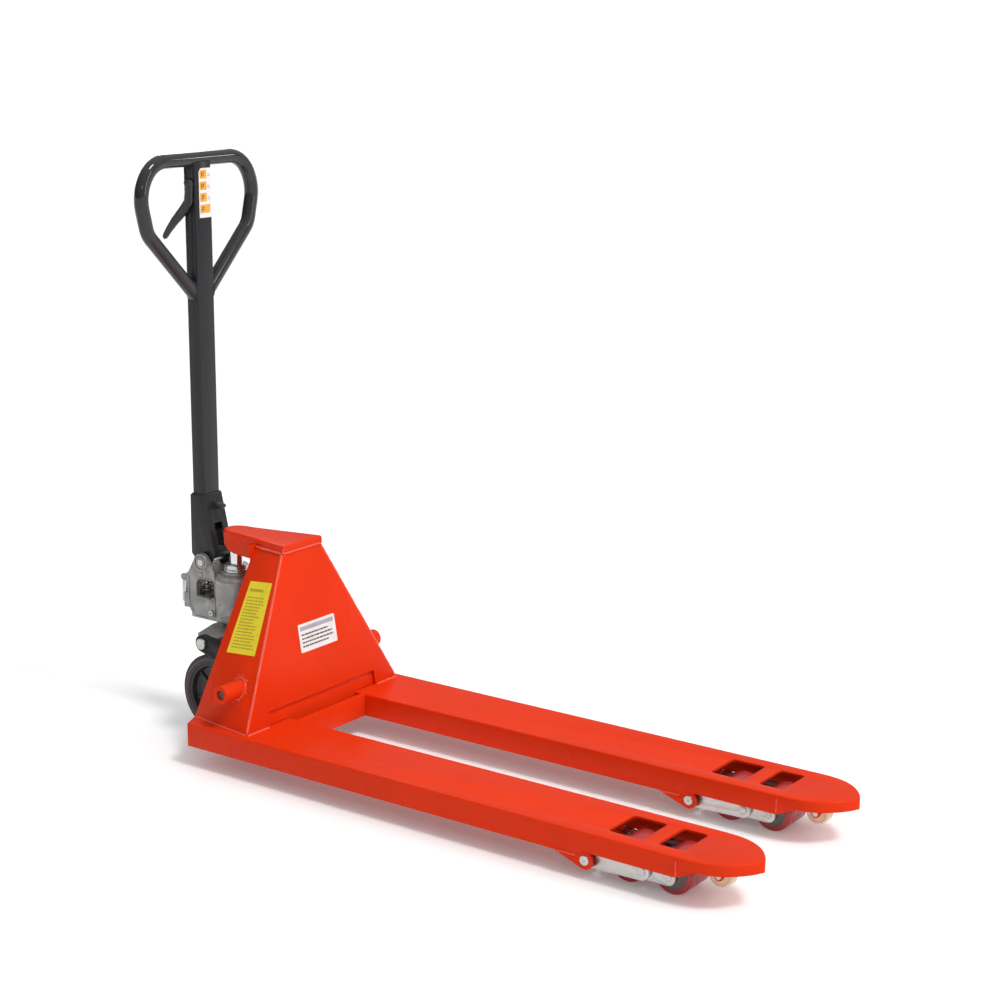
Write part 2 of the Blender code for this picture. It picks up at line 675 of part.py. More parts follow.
def carriage():
    lift_pivot = pivot("lift_axis", (STEER_X, 0, THRUST_PIN.z))
    half = [(0.027, 0.1035), (0.050, 0.030), (0.050, -0.030), (0.027, -0.1035),
            (-0.027, -0.1035), (-0.050, -0.030), (-0.050, 0.030), (-0.027, 0.1035)]
    plate = prism("thrust_plate", shifted(half, STEER_X, 0), "Z", 0.196, 0.2340, SILVER)
    bore = rod("thrust_bore", 0.0188, (STEER_X, 0, 0), "Z", 0.15, 0.28, None, 24)
    pockets = []
    for name, side in SIDES:
        low, high = sorted((side * 0.0830, side * 0.1100))
        pockets.append(box("thrust_pocket_" + name, (STEER_X - 0.0195, low, THRUST_PIN.z - 0.0130),
                           (STEER_X + 0.0195, high, THRUST_PIN.z + 0.0125)))
    cut(plate, bore, *pockets)
    bearing = turned("thrust_bearing", [(0.0190, 0.2343), (0.0320, 0.2343), (0.0320, 0.2447),
                                        (0.0190, 0.2447)],
                     (STEER_X, 0, 0), "Z", STEEL)
    hang(lift_pivot, plate, bearing)
    return lift_pivot


def pump_body():
    """Casting: flange and cylinder under the reservoir, cheeks for the handle, plunger barrel."""
    base = PUMP_FLOOR
    axis = (STEER_X, 0, 0)
    body = box("pump_body", (-0.7310, -0.0440, base + 0.0010), (-0.6590, 0.0440, 0.2780), SILVER)
    cheek_outline = hull(circle((HANDLE_PIN.x, HANDLE_PIN.z), 0.0205),
                         [(-0.7415, 0.3430), (-0.7415, 0.2740), (-0.7240, 0.2465), (-0.6510, 0.2465),
                          (-0.6510, 0.3440)])
    cheeks = []
    windows = []
    for name, side in SIDES:
        low, high = sorted((side * 0.0345, side * 0.0450))
        cheeks.append(prism("cheek_" + name, cheek_outline, "Y", low, high))
        low, high = sorted((side * 0.0300, side * 0.0500))
        corners = [(-0.7130, 0.2960, 0.005), (-0.6450, 0.2960, 0.0), (-0.6450, 0.3380, 0.0),
                   (-0.7130, 0.3380, 0.014)]
        windows.append(prism("spring_window_" + name, rounded(corners, 4), "Y", low, high))
    barrel = turned("plunger_barrel", [(0, 0.2490), (0.0115, 0.2490), (0.0115, 0.2720), (0.0175, 0.2720),
                                       (0.0175, 0.2900), (0, 0.2900)], (PLUNGER_X, 0, 0), "Z", None, 18)
    back_wall = box("pump_back_wall", (-0.7475, -0.0390, 0.2757), (-0.7405, 0.0390, 0.3100))
    fuse(body, barrel, *cheeks, back_wall)
    plunger_bore = rod("plunger_bore", PLUNGER_RADIUS + 0.0005, (PLUNGER_X, 0, 0), "Z", 0.2535, 0.31)
    pin_bore = rod("handle_pin_bore", 0.0083, HANDLE_PIN, "Y", -0.06, 0.06, None, 24)
    tank_space = rod("reservoir_space", RESERVOIR_RADIUS + 0.0006, axis, "Z", 0.2605, 0.40, None, 28)
    cut(body, plunger_bore, pin_bore, tank_space, *windows)
    core = turned("pump_core", [(0, 0.2515), (0.0183, 0.2515), (0.0183, base),
                                (RESERVOIR_RADIUS - 0.004, base), (RESERVOIR_RADIUS, base + 0.0035),
                                (RESERVOIR_RADIUS, 0.2620), (0.0230, 0.2620), (0.0230, 0.3560),
                                (0.0170, 0.3560), (0.0170, 0.2560), (0, 0.2560)], axis, "Z", None, 28)
    fuse(body, core)
    smooth(body)
    return body


def reservoir():
    """Oil tank: a cup turned over the cylinder, open below, with a stepped shoulder."""
    shell = RESERVOIR_RADIUS - 0.004
    profile = [(RESERVOIR_RADIUS, 0.2623), (RESERVOIR_RADIUS, 0.3400)]
    for step in range(1, 5):
        angle = math.pi / 2 * step / 4
        profile.append((0.0360 + 0.0160 * math.cos(angle), 0.3400 + 0.0140 * math.sin(angle)))
    profile += [(0.0335, 0.3560), (0.0335, RESERVOIR_TOP), (0.0234, RESERVOIR_TOP),
                (0.0234, 0.3500), (0.0350, 0.3500), (shell, 0.3370), (shell, 0.2623)]
    return turned("reservoir", profile, (STEER_X, 0, 0), "Z", SILVER, 28)


def pump_unit(lift_pivot):
    steer_pivot = pivot("steer_axis", (STEER_X, 0, PUMP_FLOOR), lift_pivot)
    axis = (STEER_X, 0, 0)
    body = pump_body()
    tank = reservoir()
    gland = turned("gland_nut", [(0.0168, RESERVOIR_TOP + SKIN), (0.0290, RESERVOIR_TOP + SKIN),
                                 (0.0290, 0.3660), (0.0270, 0.3675), (0.0270, 0.3735),
                                 (0.0235, 0.3770), (0.0168, 0.3770)],
                   axis, "Z", SILVER)
    block = box("axle_block", (-0.668, -0.0310, 0.062), (-0.604, 0.0310, 0.150), DARK_IRON)
    spindle = rod("spindle", 0.0180, axis, "Z", 0.120, 0.2512, None, 24)
    fuse(block, spindle)
    cut(block, rod("axle_block_bore", 0.0103, (WHEEL_X, 0, WHEEL_RADIUS), "Y", -0.05, 0.05))
    axle = rod("steer_axle", 0.010, (WHEEL_X, 0, WHEEL_RADIUS), "Y", -0.0865, 0.0865, STEEL)
    handle_pin = rod("handle_pin", 0.0080, HANDLE_PIN, "Y", -0.0475, 0.0475, ZINC)
    hang(steer_pivot, body, tank, gland, block, axle, handle_pin, release_valve())

    plunger_pivot = pivot("plunger_axis", (PLUNGER_X, 0, 0.350), steer_pivot)
    plunger = turned("plunger", [(0, 0.2840), (PLUNGER_RADIUS, 0.2840), (PLUNGER_RADIUS, 0.3440),
                                 (0.0175, 0.3440), (0.0175, 0.3510), (0.0120, 0.3540), (0, 0.3545)],
                     (PLUNGER_X, 0, 0), "Z", STEEL, 24)
    hang(plunger_pivot, plunger)
    hang(steer_pivot, plunger_spring())

    valve_pivot = pivot("valve_axis", VALVE_PIVOT, steer_pivot)
    hang(valve_pivot, valve_lever())
    for name, side in SIDES:
        steer_wheel(name, side, steer_pivot)
    return steer_pivot


def plunger_spring():
    turns = 4.5
    steps = int(turns * 10)
    path = []
    for step in range(steps + 1):
        angle = 2 * math.pi * turns * step / steps
        height = 0.2930 + 0.0480 * step / steps
        path.append(Vector((PLUNGER_X + 0.0140 * math.cos(angle), 0.0140 * math.sin(angle), height)))
    return swept("plunger_spring", path, (0.0021,), 6, STEEL)


def release_valve():
    """Valve chest on the back of the pump, with a fork that carries the release lever."""
    chest = box("release_valve", (-0.7765, -0.0200, 0.2560), (-0.7478, 0.0200, 0.2900), SILVER)
    plug = rod("valve_plug", 0.0120, (0, 0, 0.2730), "X", -0.7795, -0.7700)
    riser = box("valve_riser", (-0.7720, -0.0130, 0.2850), (-0.7490, 0.0130, 0.3300))
    ears = []
    ear_shape = hull(circle((VALVE_PIVOT.x, VALVE_PIVOT.z), 0.0075, 16),
                     [(-0.7600, 0.3290), (-0.7600, 0.3090)])
    for side in (-1, 1):
        low, high = sorted((side * 0.0070, side * 0.0110))
        ears.append(prism(f"valve_ear_{side}", ear_shape, "Y", low, high))
    fuse(chest, plug, riser, *ears)
    return chest


def valve_lever():
    """Bell crank pulled by the rod in the handle; its lower end presses the valve."""
    x, z = VALVE_PIVOT.x, VALVE_PIVOT.z
    hanging = hull(circle((x, z), 0.0068, 16), circle((x - 0.004, z - 0.055), 0.005, 12))
    lever = prism("valve_lever", hanging, "Y", -0.0060, 0.0060, ZINC)
    toe = rod("valve_toe", 0.0060, (0, 0, z - 0.052), "X", x - 0.0095, x - 0.0010, None, 12)
    fuse(lever, toe)
    return lever


def steer_wheel(name, side, steer_pivot):
    centre = Vector((WHEEL_X, side * WHEEL_Y, WHEEL_RADIUS))
    wheel_pivot = pivot("wheel_axis_" + name, centre, steer_pivot)
    edge = WHEEL_WIDTH / 2
    tyre = [(0.0700, -edge + 0.001), (0.0840, -edge), (WHEEL_RADIUS, -edge + 0.005),
            (WHEEL_RADIUS, edge - 0.005), (0.0840, edge), (0.0700, edge - 0.001)]
    hub = [(0.0105, -edge), (0.0240, -edge), (0.0270, -0.0100), (0.0600, -0.0100), (0.0640, -0.0230),
           (0.0693, -0.0230), (0.0693, 0.0230), (0.0640, 0.0230), (0.0600, 0.0100), (0.0270, 0.0100),
           (0.0240, edge), (0.0105, edge)]
    hang(wheel_pivot, turned("steer_tyre_" + name, tyre, centre, "Y", BLACK_TYRE, 32),
         turned("steer_hub_" + name, hub, centre, "Y", BLACK_TYRE, 20))


# Handle

def handle_base():
    """Folded steel shoe: side cheeks on the pin, sloping front with a slot, tab at the top."""
    outline = hull(circle((HANDLE_PIN.x, HANDLE_PIN.z), 0.0185),
                   [(-0.7395, 0.3900), (-0.7385, 0.5250), (-0.6995, 0.5250), (-0.6690, 0.3960)])
    shoe = prism("handle_base", outline, "Y", -0.0305, 0.0305, BLACK_PAINT)
    inner = [(-0.7600, 0.3400), (-0.7600, 0.4300), (-0.7354, 0.4400), (-0.7354, 0.5400), (-0.7006, 0.5400),
             (-0.7006, 0.5060), (-0.6740, 0.3960), (-0.6740, 0.3400)]
    hollow = prism("base_hollow", inner, "Y", -0.0264, 0.0264)
    slot = box("base_slot", (-0.7000, -0.0125, 0.4040), (-0.6400, 0.0125, 0.4620))
    pin_bore = rod("base_bore", 0.0085, HANDLE_PIN, "Y", -0.04, 0.04)
    tab_shape = hull([(-0.7003, 0.4900), (-0.7003, 0.5120), (-0.6710, 0.5060)],
                     circle((-0.6700, 0.5010), 0.0045, 12))
    tab = prism("base_tab", tab_shape, "Y", -0.0080, 0.0080)
    cut(shoe, hollow, slot, pin_bore)
    fuse(shoe, tab)
    return shoe


def rounded_column(half_depth, half_width, radius):
    corners = [(COLUMN_X - half_depth, -half_width, radius), (COLUMN_X + half_depth, -half_width, radius),
               (COLUMN_X + half_depth, half_width, radius), (COLUMN_X - half_depth, half_width, radius)]
    return rounded(corners, 3)


def handle_column():
    top = LOOP_HEIGHT - LOOP_TUBE - SKIN
    outer = rounded_column(COLUMN_DEPTH / 2, COLUMN_WIDTH / 2, 0.004)
    inner = rounded_column(COLUMN_DEPTH / 2 - 0.003, COLUMN_WIDTH / 2 - 0.003, 0.002)
    column = prism("handle_column", outer, "Z", COLUMN_FOOT, top, BLACK_PAINT)
    hollow = prism("column_hollow", inner, "Z", COLUMN_FOOT - 0.01, top + 0.01)
    bore = rod("trigger_bore", 0.0056, TRIGGER_PIVOT, "Y", -0.04, 0.04, None, 24)
    cut(column, hollow, bore)
    return column


def handle_loop():
    """Open tube bent to a heart shape; both ends butt against the column."""
    half = [(0.0150, 0.9680, 0), (0.1580, 1.1120, 0.055), (0.1810, 1.2080, 0.085),
            (0.1300, LOOP_HEIGHT, 0.070), (0.0, LOOP_HEIGHT, 0)]
    points = rounded(half, 4, closed=False)
    right = [Vector((COLUMN_X, -y, z)) for y, z in points]
    left = [Vector((COLUMN_X, y, z)) for y, z in reversed(points[:-1])]
    tube = swept("handle_loop", right + left, (LOOP_TUBE, LOOP_TUBE - 0.0028), 10, BLACK_PAINT)
    trim = box("loop_trim", (COLUMN_X - 0.03, -COLUMN_WIDTH / 2 - SKIN, 0.90),
               (COLUMN_X + 0.03, COLUMN_WIDTH / 2 + SKIN, 1.10))
    cut(tube, trim)
    return tube


def press_roller():
    """Cross roller behind the pin that presses the plunger down as the handle is pumped."""
    return rod("press_roller", 0.0100, (PLUNGER_X, 0, 0.3655), "Y", -0.0225, 0.0225, STEEL)


def release_trigger():
    """Finger lever beside the column, with its shaft and the crank that lifts the rod."""
    x, z = TRIGGER_PIVOT.x, TRIGGER_PIVOT.z
    knee = (x - 0.004, z - 0.044)
    plate = prism("release_lever", hull(circle((x, z), 0.0095, 20), circle(knee, 0.0100, 20)),
                  "Y", -0.0330, -0.0272, BLACK_PAINT)
    pieces = []
    grip = []
    for share, radius in ((0.0, 0.0105), (0.34, 0.0100), (0.67, 0.0085), (1.0, 0.0060)):
        bow = 0.012 * math.sin(math.pi * share)
        place = (knee[0] - 0.072 * share, knee[1] - 0.075 * share + bow)
        grip.append(circle(place, radius, 16))
    for index, (first, second) in enumerate(zip(grip, grip[1:])):
        low, high = -0.0335 - 0.0004 * index, -0.0268 + 0.0002 * index
        pieces.append(prism(f"grip_{index}", hull(first, second), "Y", low, high))
    shaft = rod("trigger_shaft", 0.0050, TRIGGER_PIVOT, "Y", -0.0370, 0.0140, None, 20)
    crank = prism("trigger_crank", hull(circle((x, z), 0.0075, 16), circle((x - 0.0110, z), 0.0045, 16)),
                  "Y", 0.0030, 0.0080)
    fuse(plate, *pieces, shaft, crank)
    return plate


def release_rod():
    """Thin rod inside the column, from the trigger's crank to the pump's valve lever."""
    x = TRIGGER_PIVOT.x - 0.0110
    return rod("release_rod", 0.0025, (x, -0.0010, 0), "Z", 0.4480, TRIGGER_PIVOT.z - 0.001, STEEL, 12)


def handle(steer_pivot):
    handle_pivot = pivot("handle_axis", HANDLE_PIN, steer_pivot)
    hang(handle_pivot, handle_base(), handle_column(), handle_loop(), press_roller())
    trigger_pivot = pivot("trigger_axis", TRIGGER_PIVOT, handle_pivot)
    hang(trigger_pivot, release_trigger())
    rod_pivot = pivot("rod_slide_axis", (TRIGGER_PIVOT.x, 0, 1.0), handle_pivot)
    hang(rod_pivot, release_rod())


def build():
    chassis()
    entry_rollers()
    rocker()
    for name, side in SIDES:
        arm_pivot = load_arm(name, side)
        push_rod(name, side, arm_pivot)
        bogie(name, side, arm_pivot)
    lift_pivot = carriage()
    steer_pivot = pump_unit(lift_pivot)
    handle(steer_pivot)
    for item in bpy.data.objects:
        if item.type == "MESH" and item.modifiers and not item.hide_render:
            merge_flats(item)


build()
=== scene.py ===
"""Looks for the hand pallet truck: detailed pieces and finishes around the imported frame."""
import json
import math
import random

import bmesh
import bpy
from mathutils import Matrix, Vector, noise


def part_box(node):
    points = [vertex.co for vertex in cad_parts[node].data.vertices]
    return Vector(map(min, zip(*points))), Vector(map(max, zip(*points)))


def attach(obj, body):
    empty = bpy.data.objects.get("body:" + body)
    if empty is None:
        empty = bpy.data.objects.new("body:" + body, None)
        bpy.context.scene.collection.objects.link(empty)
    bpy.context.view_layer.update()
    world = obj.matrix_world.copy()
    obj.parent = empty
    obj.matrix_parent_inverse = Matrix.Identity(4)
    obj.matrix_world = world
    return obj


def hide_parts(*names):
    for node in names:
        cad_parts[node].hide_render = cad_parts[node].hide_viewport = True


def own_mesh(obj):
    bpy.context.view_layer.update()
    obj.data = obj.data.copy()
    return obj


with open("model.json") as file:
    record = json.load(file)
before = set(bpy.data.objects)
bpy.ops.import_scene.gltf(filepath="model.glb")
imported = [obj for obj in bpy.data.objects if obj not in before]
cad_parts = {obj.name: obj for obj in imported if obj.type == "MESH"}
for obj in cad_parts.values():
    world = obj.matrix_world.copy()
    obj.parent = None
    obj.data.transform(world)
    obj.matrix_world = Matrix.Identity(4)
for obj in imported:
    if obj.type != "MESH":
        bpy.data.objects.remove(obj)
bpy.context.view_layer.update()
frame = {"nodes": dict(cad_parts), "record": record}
BODY_OF = {node: body for body, nodes in frame["record"]["behaviour"]["bodies"].items() for node in nodes}
SLOT_OF = {row["node"]: row["material_slot"] for row in frame["record"]["subparts"]}
SIDES = (("right", -1), ("left", 1))


# Shader helpers

class Shader:
    """A Principled material and short ways to add nodes to it."""

    def __init__(self, name, roughness=0.4, metallic=0.0, **sockets):
        self.material = bpy.data.materials.new(name)
        self.material.use_nodes = True
        self.tree = self.material.node_tree
        self.bsdf = self.tree.nodes["Principled BSDF"]
        self.bsdf.inputs["Roughness"].default_value = roughness
        self.bsdf.inputs["Metallic"].default_value = metallic
        for label, value in sockets.items():
            self.bsdf.inputs[label.replace("_", " ")].default_value = value
        self.place = self.add("ShaderNodeTexCoord").outputs["Object"]
        self.normal = self.add("ShaderNodeNewGeometry").outputs["Normal"]

    def add(self, kind, **settings):
        made = self.tree.nodes.new(kind)
        for label, value in settings.items():
            setattr(made, label, value)
        return made

    def link(self, source, target):
        """Join a node's output to a socket, or set the socket to a number or a colour."""
        if isinstance(source, (int, float)):
            target.default_value = source
        elif isinstance(source, tuple):
            target.default_value = (*source, 1.0)[:len(target.default_value)]
        else:
            self.tree.links.new(source, target)

    def stretched(self, scale):
        """The object's own coordinates, scaled apart along X, Y and Z."""
        made = self.add("ShaderNodeMapping")
        made.inputs["Scale"].default_value = scale
        self.link(self.place, made.inputs["Vector"])
        return made.outputs["Vector"]

    def noise(self, scale, detail=3.0, rough=0.55, where=None, distortion=0.0):
        made = self.add("ShaderNodeTexNoise")
        for label, number in (("Scale", scale), ("Detail", detail), ("Roughness", rough),
                              ("Distortion", distortion)):
            made.inputs[label].default_value = number
        self.link(where or self.place, made.inputs["Vector"])
        return made.outputs["Fac"]

    def span(self, value, low, high, out_low=0.0, out_high=1.0):
        """Map a value's range smoothly onto another, held at both ends."""
        made = self.add("ShaderNodeMapRange", interpolation_type="SMOOTHSTEP")
        self.link(value, made.inputs["Value"])
        for label, number in (("From Min", low), ("From Max", high), ("To Min", out_low),
                              ("To Max", out_high)):
            made.inputs[label].default_value = number
        return made.outputs["Result"]

    def patches(self, scale, detail, low, high, out_low=0.0, out_high=1.0, rough=0.55):
        """Noise whose middle range is mapped smoothly onto another."""
        return self.span(self.noise(scale, detail, rough), low, high, out_low, out_high)

    def maths(self, operation, first, second):
        made = self.add("ShaderNodeMath", operation=operation)
        self.link(first, made.inputs[0])
        self.link(second, made.inputs[1])
        return made.outputs[0]

    def times(self, first, second):
        return self.maths("MULTIPLY", first, second)

    def axis(self, vector, letter):
        made = self.add("ShaderNodeSeparateXYZ")
        self.link(vector, made.inputs[0])
        return made.outputs[letter]

    def blend(self, factor, first, second):
        made = self.add("ShaderNodeMix", data_type="RGBA")
        for index, source in ((0, factor), (6, first), (7, second)):
            self.link(source, made.inputs[index])
        return made.outputs[2]

    def bump(self, height, strength, distance, under=None):
        made = self.add("ShaderNodeBump")
        made.inputs["Strength"].default_value = strength
        made.inputs["Distance"].default_value = distance
        self.link(height, made.inputs["Height"])
        if under is not None:
            self.link(under, made.inputs["Normal"])
        return made.outputs["Normal"]

    def finish(self, colour, roughness=None, normal=None):
        for label, source in (("Base Color", colour), ("Roughness", roughness), ("Normal", normal)):
            if source is not None:
                self.link(source, self.bsdf.inputs[label])
        return self.material


def shade(colour, factor):
    return tuple(channel * factor for channel in colour)


def grey(level):
    return (level, level, level)


# Finishes

def enamel(name, colour, worn, scuffs=0.0, gloss=0.26, grime=0.15, shine=0.12):
    """Sprayed enamel: mottling, orange peel, fine scratches, grime, and rubbed level faces at the heel."""
    paint = Shader(name, Specular_IOR_Level=shine)
    base = paint.blend(paint.patches(5.0, 4.0, 0.3, 0.7), shade(colour, 0.96), shade(colour, 1.03))
    hair = paint.noise(1.0, 2.0, 0.5, paint.stretched((9.0, 420.0, 420.0)), 0.2)
    crossed = paint.noise(1.0, 2.0, 0.5, paint.stretched((380.0, 12.0, 90.0)), 0.3)
    scratches = paint.maths("MAXIMUM", paint.span(hair, 0.66, 0.72), paint.span(crossed, 0.68, 0.74))
    mask = paint.times(paint.times(scratches, paint.patches(9.0, 2.0, 0.5, 0.66)), 0.05)
    if scuffs > 0:
        level = paint.span(paint.axis(paint.normal, "Z"), 0.75, 0.95)
        near_heel = paint.span(paint.axis(paint.place, "X"), 0.16, -0.3)
        rubbed = paint.span(paint.noise(34.0, 7.0, 0.72, None, 1.5), 0.56, 0.66)
        spots = paint.times(paint.patches(11.0, 3.0, 0.52, 0.6), near_heel)
        heel = paint.times(paint.times(rubbed, spots), level)
        mask = paint.maths("MAXIMUM", mask, paint.times(heel, scuffs))
    base = paint.blend(mask, base, worn)
    dust = paint.times(paint.patches(16.0, 5.0, 0.5, 0.85, rough=0.65), grime)
    base = paint.blend(dust, base, shade(colour, 0.45))
    rough = paint.patches(7.0, 1.0, 0.25, 0.75, gloss, gloss + 0.05)
    return paint.finish(base, rough, paint.bump(paint.noise(260.0, 2.0), 0.05, 0.0006))


def cast_paint(name, colour):
    """Aluminium paint over a sand casting, with oily dirt in patches."""
    paint = Shader(name, metallic=0.55)
    base = paint.blend(paint.patches(24.0, 5.0, 0.35, 0.7), shade(colour, 0.8), shade(colour, 1.12))
    oil = paint.times(paint.patches(38.0, 6.0, 0.56, 0.68, rough=0.7), 0.65)
    base = paint.blend(oil, base, (0.055, 0.048, 0.04))
    rough = paint.patches(60.0, 3.0, 0.3, 0.7, 0.32, 0.52)
    grain = paint.bump(paint.noise(420.0, 3.0, 0.6), 0.28, 0.0008)
    return paint.finish(base, rough, paint.bump(paint.noise(70.0, 2.0), 0.22, 0.0015, grain))


def plated(name, colour, tint, rough_low=0.24, rough_high=0.42, lines=(20.0, 300.0, 300.0)):
    """Plated or machined steel: faint colour drift, fine lines and rubbed spots."""
    metal = Shader(name, metallic=0.95)
    base = metal.blend(metal.patches(18.0, 4.0, 0.3, 0.7), colour, tint)
    stain = metal.times(metal.patches(52.0, 6.0, 0.6, 0.72, rough=0.7), 0.25)
    base = metal.blend(stain, base, shade(colour, 0.45))
    drawn = metal.noise(1.0, 3.0, 0.6, metal.stretched(lines))
    rough = metal.span(drawn, 0.3, 0.7, rough_low, rough_high)
    return metal.finish(base, rough, metal.bump(drawn, 0.12, 0.0004))


def moulded(name, colour, dirt, rough=0.45, grain=500.0, relief=0.1, **sockets):
    """Rubber, polyurethane or nylon: fine grain, dust and handling marks."""
    resin = Shader(name, **sockets)
    dusty = resin.patches(30.0, 6.0, 0.45, 0.75, rough=0.7)
    base = resin.blend(resin.times(dusty, 0.5), colour, dirt)
    marks = resin.noise(1.0, 4.0, 0.6, resin.stretched((60.0, 260.0, 60.0)))
    roughness = resin.span(marks, 0.3, 0.7, rough - 0.5 * relief, rough + relief)
    fine = resin.bump(resin.noise(grain, 3.0), 1.5 * relief, 0.0004)
    return resin.finish(base, roughness, resin.bump(marks, relief, 0.0006, fine))


def film(name, colour):
    """Printed film: nearly flat, a little yellowed, with faint handling marks."""
    sheet = Shader(name)
    base = sheet.blend(sheet.patches(40.0, 4.0, 0.4, 0.8), colour, shade(colour, 0.88))
    rough = sheet.patches(90.0, 3.0, 0.3, 0.7, 0.34, 0.5)
    return sheet.finish(base, rough, sheet.bump(sheet.noise(35.0, 2.0), 0.12, 0.0006))


FINISH = {
    "red_paint": enamel("orange_red_enamel", (0.725, 0.035, 0.0045), (0.86, 0.22, 0.13), scuffs=0.12,
                        grime=0.03, shine=0.07),
    # Weld paint is lighter and pinker than the red enamel: that lightness is a painted highlight along the
    # corner, foot and cap beads and the spatter.
    "weld_paint": enamel("weld_paint_painted_highlight", (0.8, 0.075, 0.035), (0.92, 0.32, 0.22), gloss=0.1, grime=0.05,
                         shine=0.6),
    "dark_paint": enamel("dark_grey_enamel", (0.022, 0.022, 0.0245), grey(0.1), gloss=0.2, grime=0.05,
                         shine=0.24),
    "loop_paint": enamel("glossy_grey_enamel", (0.024, 0.024, 0.027), grey(0.1), gloss=0.035, grime=0.04,
                         shine=0.42),
    "dark_iron": enamel("black_iron_paint", (0.022, 0.021, 0.02), (0.2, 0.19, 0.18), gloss=0.36, grime=0.35),
    "weld_grey": enamel("bright_weld_spot", (0.32, 0.32, 0.33), grey(0.6), gloss=0.16, grime=0.1, shine=0.5),
    "silver_paint": cast_paint("aluminium_paint", (0.33, 0.325, 0.315)),
    "zinc_plate": plated("bright_zinc", (0.56, 0.56, 0.57), (0.5, 0.49, 0.45)),
    "bright_steel": plated("machined_steel", (0.56, 0.55, 0.53), (0.47, 0.45, 0.42), 0.18, 0.36,
                           (300.0, 30.0, 300.0)),
    "chrome": plated("hard_chrome", (0.78, 0.78, 0.79), (0.72, 0.72, 0.74), 0.05, 0.12, (200.0, 200.0, 20.0)),
    "gland_metal": plated("gland_metal", (0.7, 0.7, 0.69), (0.6, 0.6, 0.58), 0.2, 0.34),
    "spring_steel": plated("spring_steel", (0.4, 0.39, 0.38), (0.26, 0.24, 0.22), 0.2, 0.34),
    "black_tyre": moulded("black_rubber", (0.014, 0.014, 0.015), (0.055, 0.05, 0.045), 0.42),
    "wheel_red": moulded("rim_red", (0.16, 0.016, 0.014), (0.06, 0.03, 0.03), 0.4),
    # Light grey for the thin bead on each tyre face: a painted highlight along the tyre's moulded edge.
    "rim_highlight_grey": moulded("rim_highlight_grey", (0.3, 0.27, 0.27), (0.1, 0.08, 0.08), 0.36),
    "hub_grey": moulded("hub_grey", (0.105, 0.09, 0.082), (0.05, 0.04, 0.035), 0.36),
    "red_tread": moulded("red_polyurethane", (0.4, 0.026, 0.03), (0.3, 0.03, 0.03), 0.26, relief=0.02),
    "cream_nylon": moulded("cream_nylon", (0.8, 0.66, 0.46), (0.52, 0.4, 0.27), 0.42, 300.0),
    "trigger_black": moulded("trigger_black", (0.016, 0.016, 0.017), (0.045, 0.043, 0.04), 0.3),
    # Near-black for sheets inside the handle base's hollow: painted shade.
    "painted_shade_black": moulded("painted_shade_black", grey(0.006), (0.014, 0.012, 0.01), 0.55, Specular_IOR_Level=0.12),
    "grease": moulded("brown_grease", (0.075, 0.04, 0.018), (0.03, 0.018, 0.01), 0.3),
    "yellow_film": film("yellow_film", (0.86, 0.7, 0.03)),
    "white_film": film("white_film", (0.8, 0.78, 0.77)),
    "orange_film": film("orange_film", (0.8, 0.36, 0.018)),
    "blue_film": film("blue_film", (0.36, 0.37, 0.42)),
    "print_ink": film("print_ink", (0.035, 0.035, 0.04)),
    "faded_ink": film("faded_ink", (0.5, 0.4, 0.035)),
}


# Outlines

def arc(centre, radius, first, last, steps):
    points = []
    for step in range(steps + 1):
        angle = math.radians(first + (last - first) * step / steps)
        points.append((centre[0] + radius * math.cos(angle), centre[1] + radius * math.sin(angle)))
    return points


def circle(count):
    """The cosine and sine of even steps round one turn."""
    angles = [2 * math.pi * step / count for step in range(count)]
    return [(math.cos(angle), math.sin(angle)) for angle in angles]


def rounded(corners, steps=4, closed=True):
    """Round a chain of (x, y, radius) corners."""
    points = []
    count = len(corners)
    for index, (x, y, radius) in enumerate(corners):
        if radius <= 0 or (not closed and index in (0, count - 1)):
            points.append((x, y))
            continue
        here = Vector((x, y))
        before = (Vector(corners[index - 1][:2]) - here).normalized()
        after = (Vector(corners[(index + 1) % count][:2]) - here).normalized()
        half_angle = before.angle(after) / 2
        middle = here + (before + after).normalized() * radius / math.sin(half_angle)
        start = here + before * radius / math.tan(half_angle) - middle
        end = here + after * radius / math.tan(half_angle) - middle
        turn = start.angle_signed(end)
        for step in range(steps + 1):
            points.append(tuple(middle + Matrix.Rotation(-turn * step / steps, 2) @ start))
    return points


def mm(*corners):
    """Corners given in millimetres."""
    return [tuple(number / 1000 for number in corner) for corner in corners]


def both_faces(half, steps=4):
    """A rounded lathe outline that is alike on both faces, from its half below the middle."""
    return rounded(half + [(radius, -height, ease) for radius, height, ease in reversed(half)], steps)


def flipped(profile, side):
    """A lathe outline with its heights turned to one side."""
    return [(radius, side * height) for radius, height in profile]


def patch(low, high, radius=0.0):
    corners = [(*low, radius), (high[0], low[1], radius), (*high, radius), (low[0], high[1], radius)]
    return rounded(corners)


def pin_profile(radius, low, high, ease, centre_hole=0.0):
    """A bar's outline with eased ends, and perhaps a shallow turning centre in each."""
    points = [(0, low + centre_hole), (centre_hole, low)] if centre_hole else [(0, low)]
    points += arc((radius - ease, low + ease), ease, -90, 0, 4)
    points += arc((radius - ease, high - ease), ease, 0, 90, 4)
    points += [(centre_hole, high), (0, high - centre_hole)] if centre_hole else [(0, high)]
    return points


# Shapes

TIP_RADIUS = 1e-7


def on_axis(axis, along, a, b):
    """A point at a distance along one axis, and at (a, b) on the other two."""
    return Vector({"X": (along, a, b), "Y": (a, along, b), "Z": (a, b, along)}[axis])


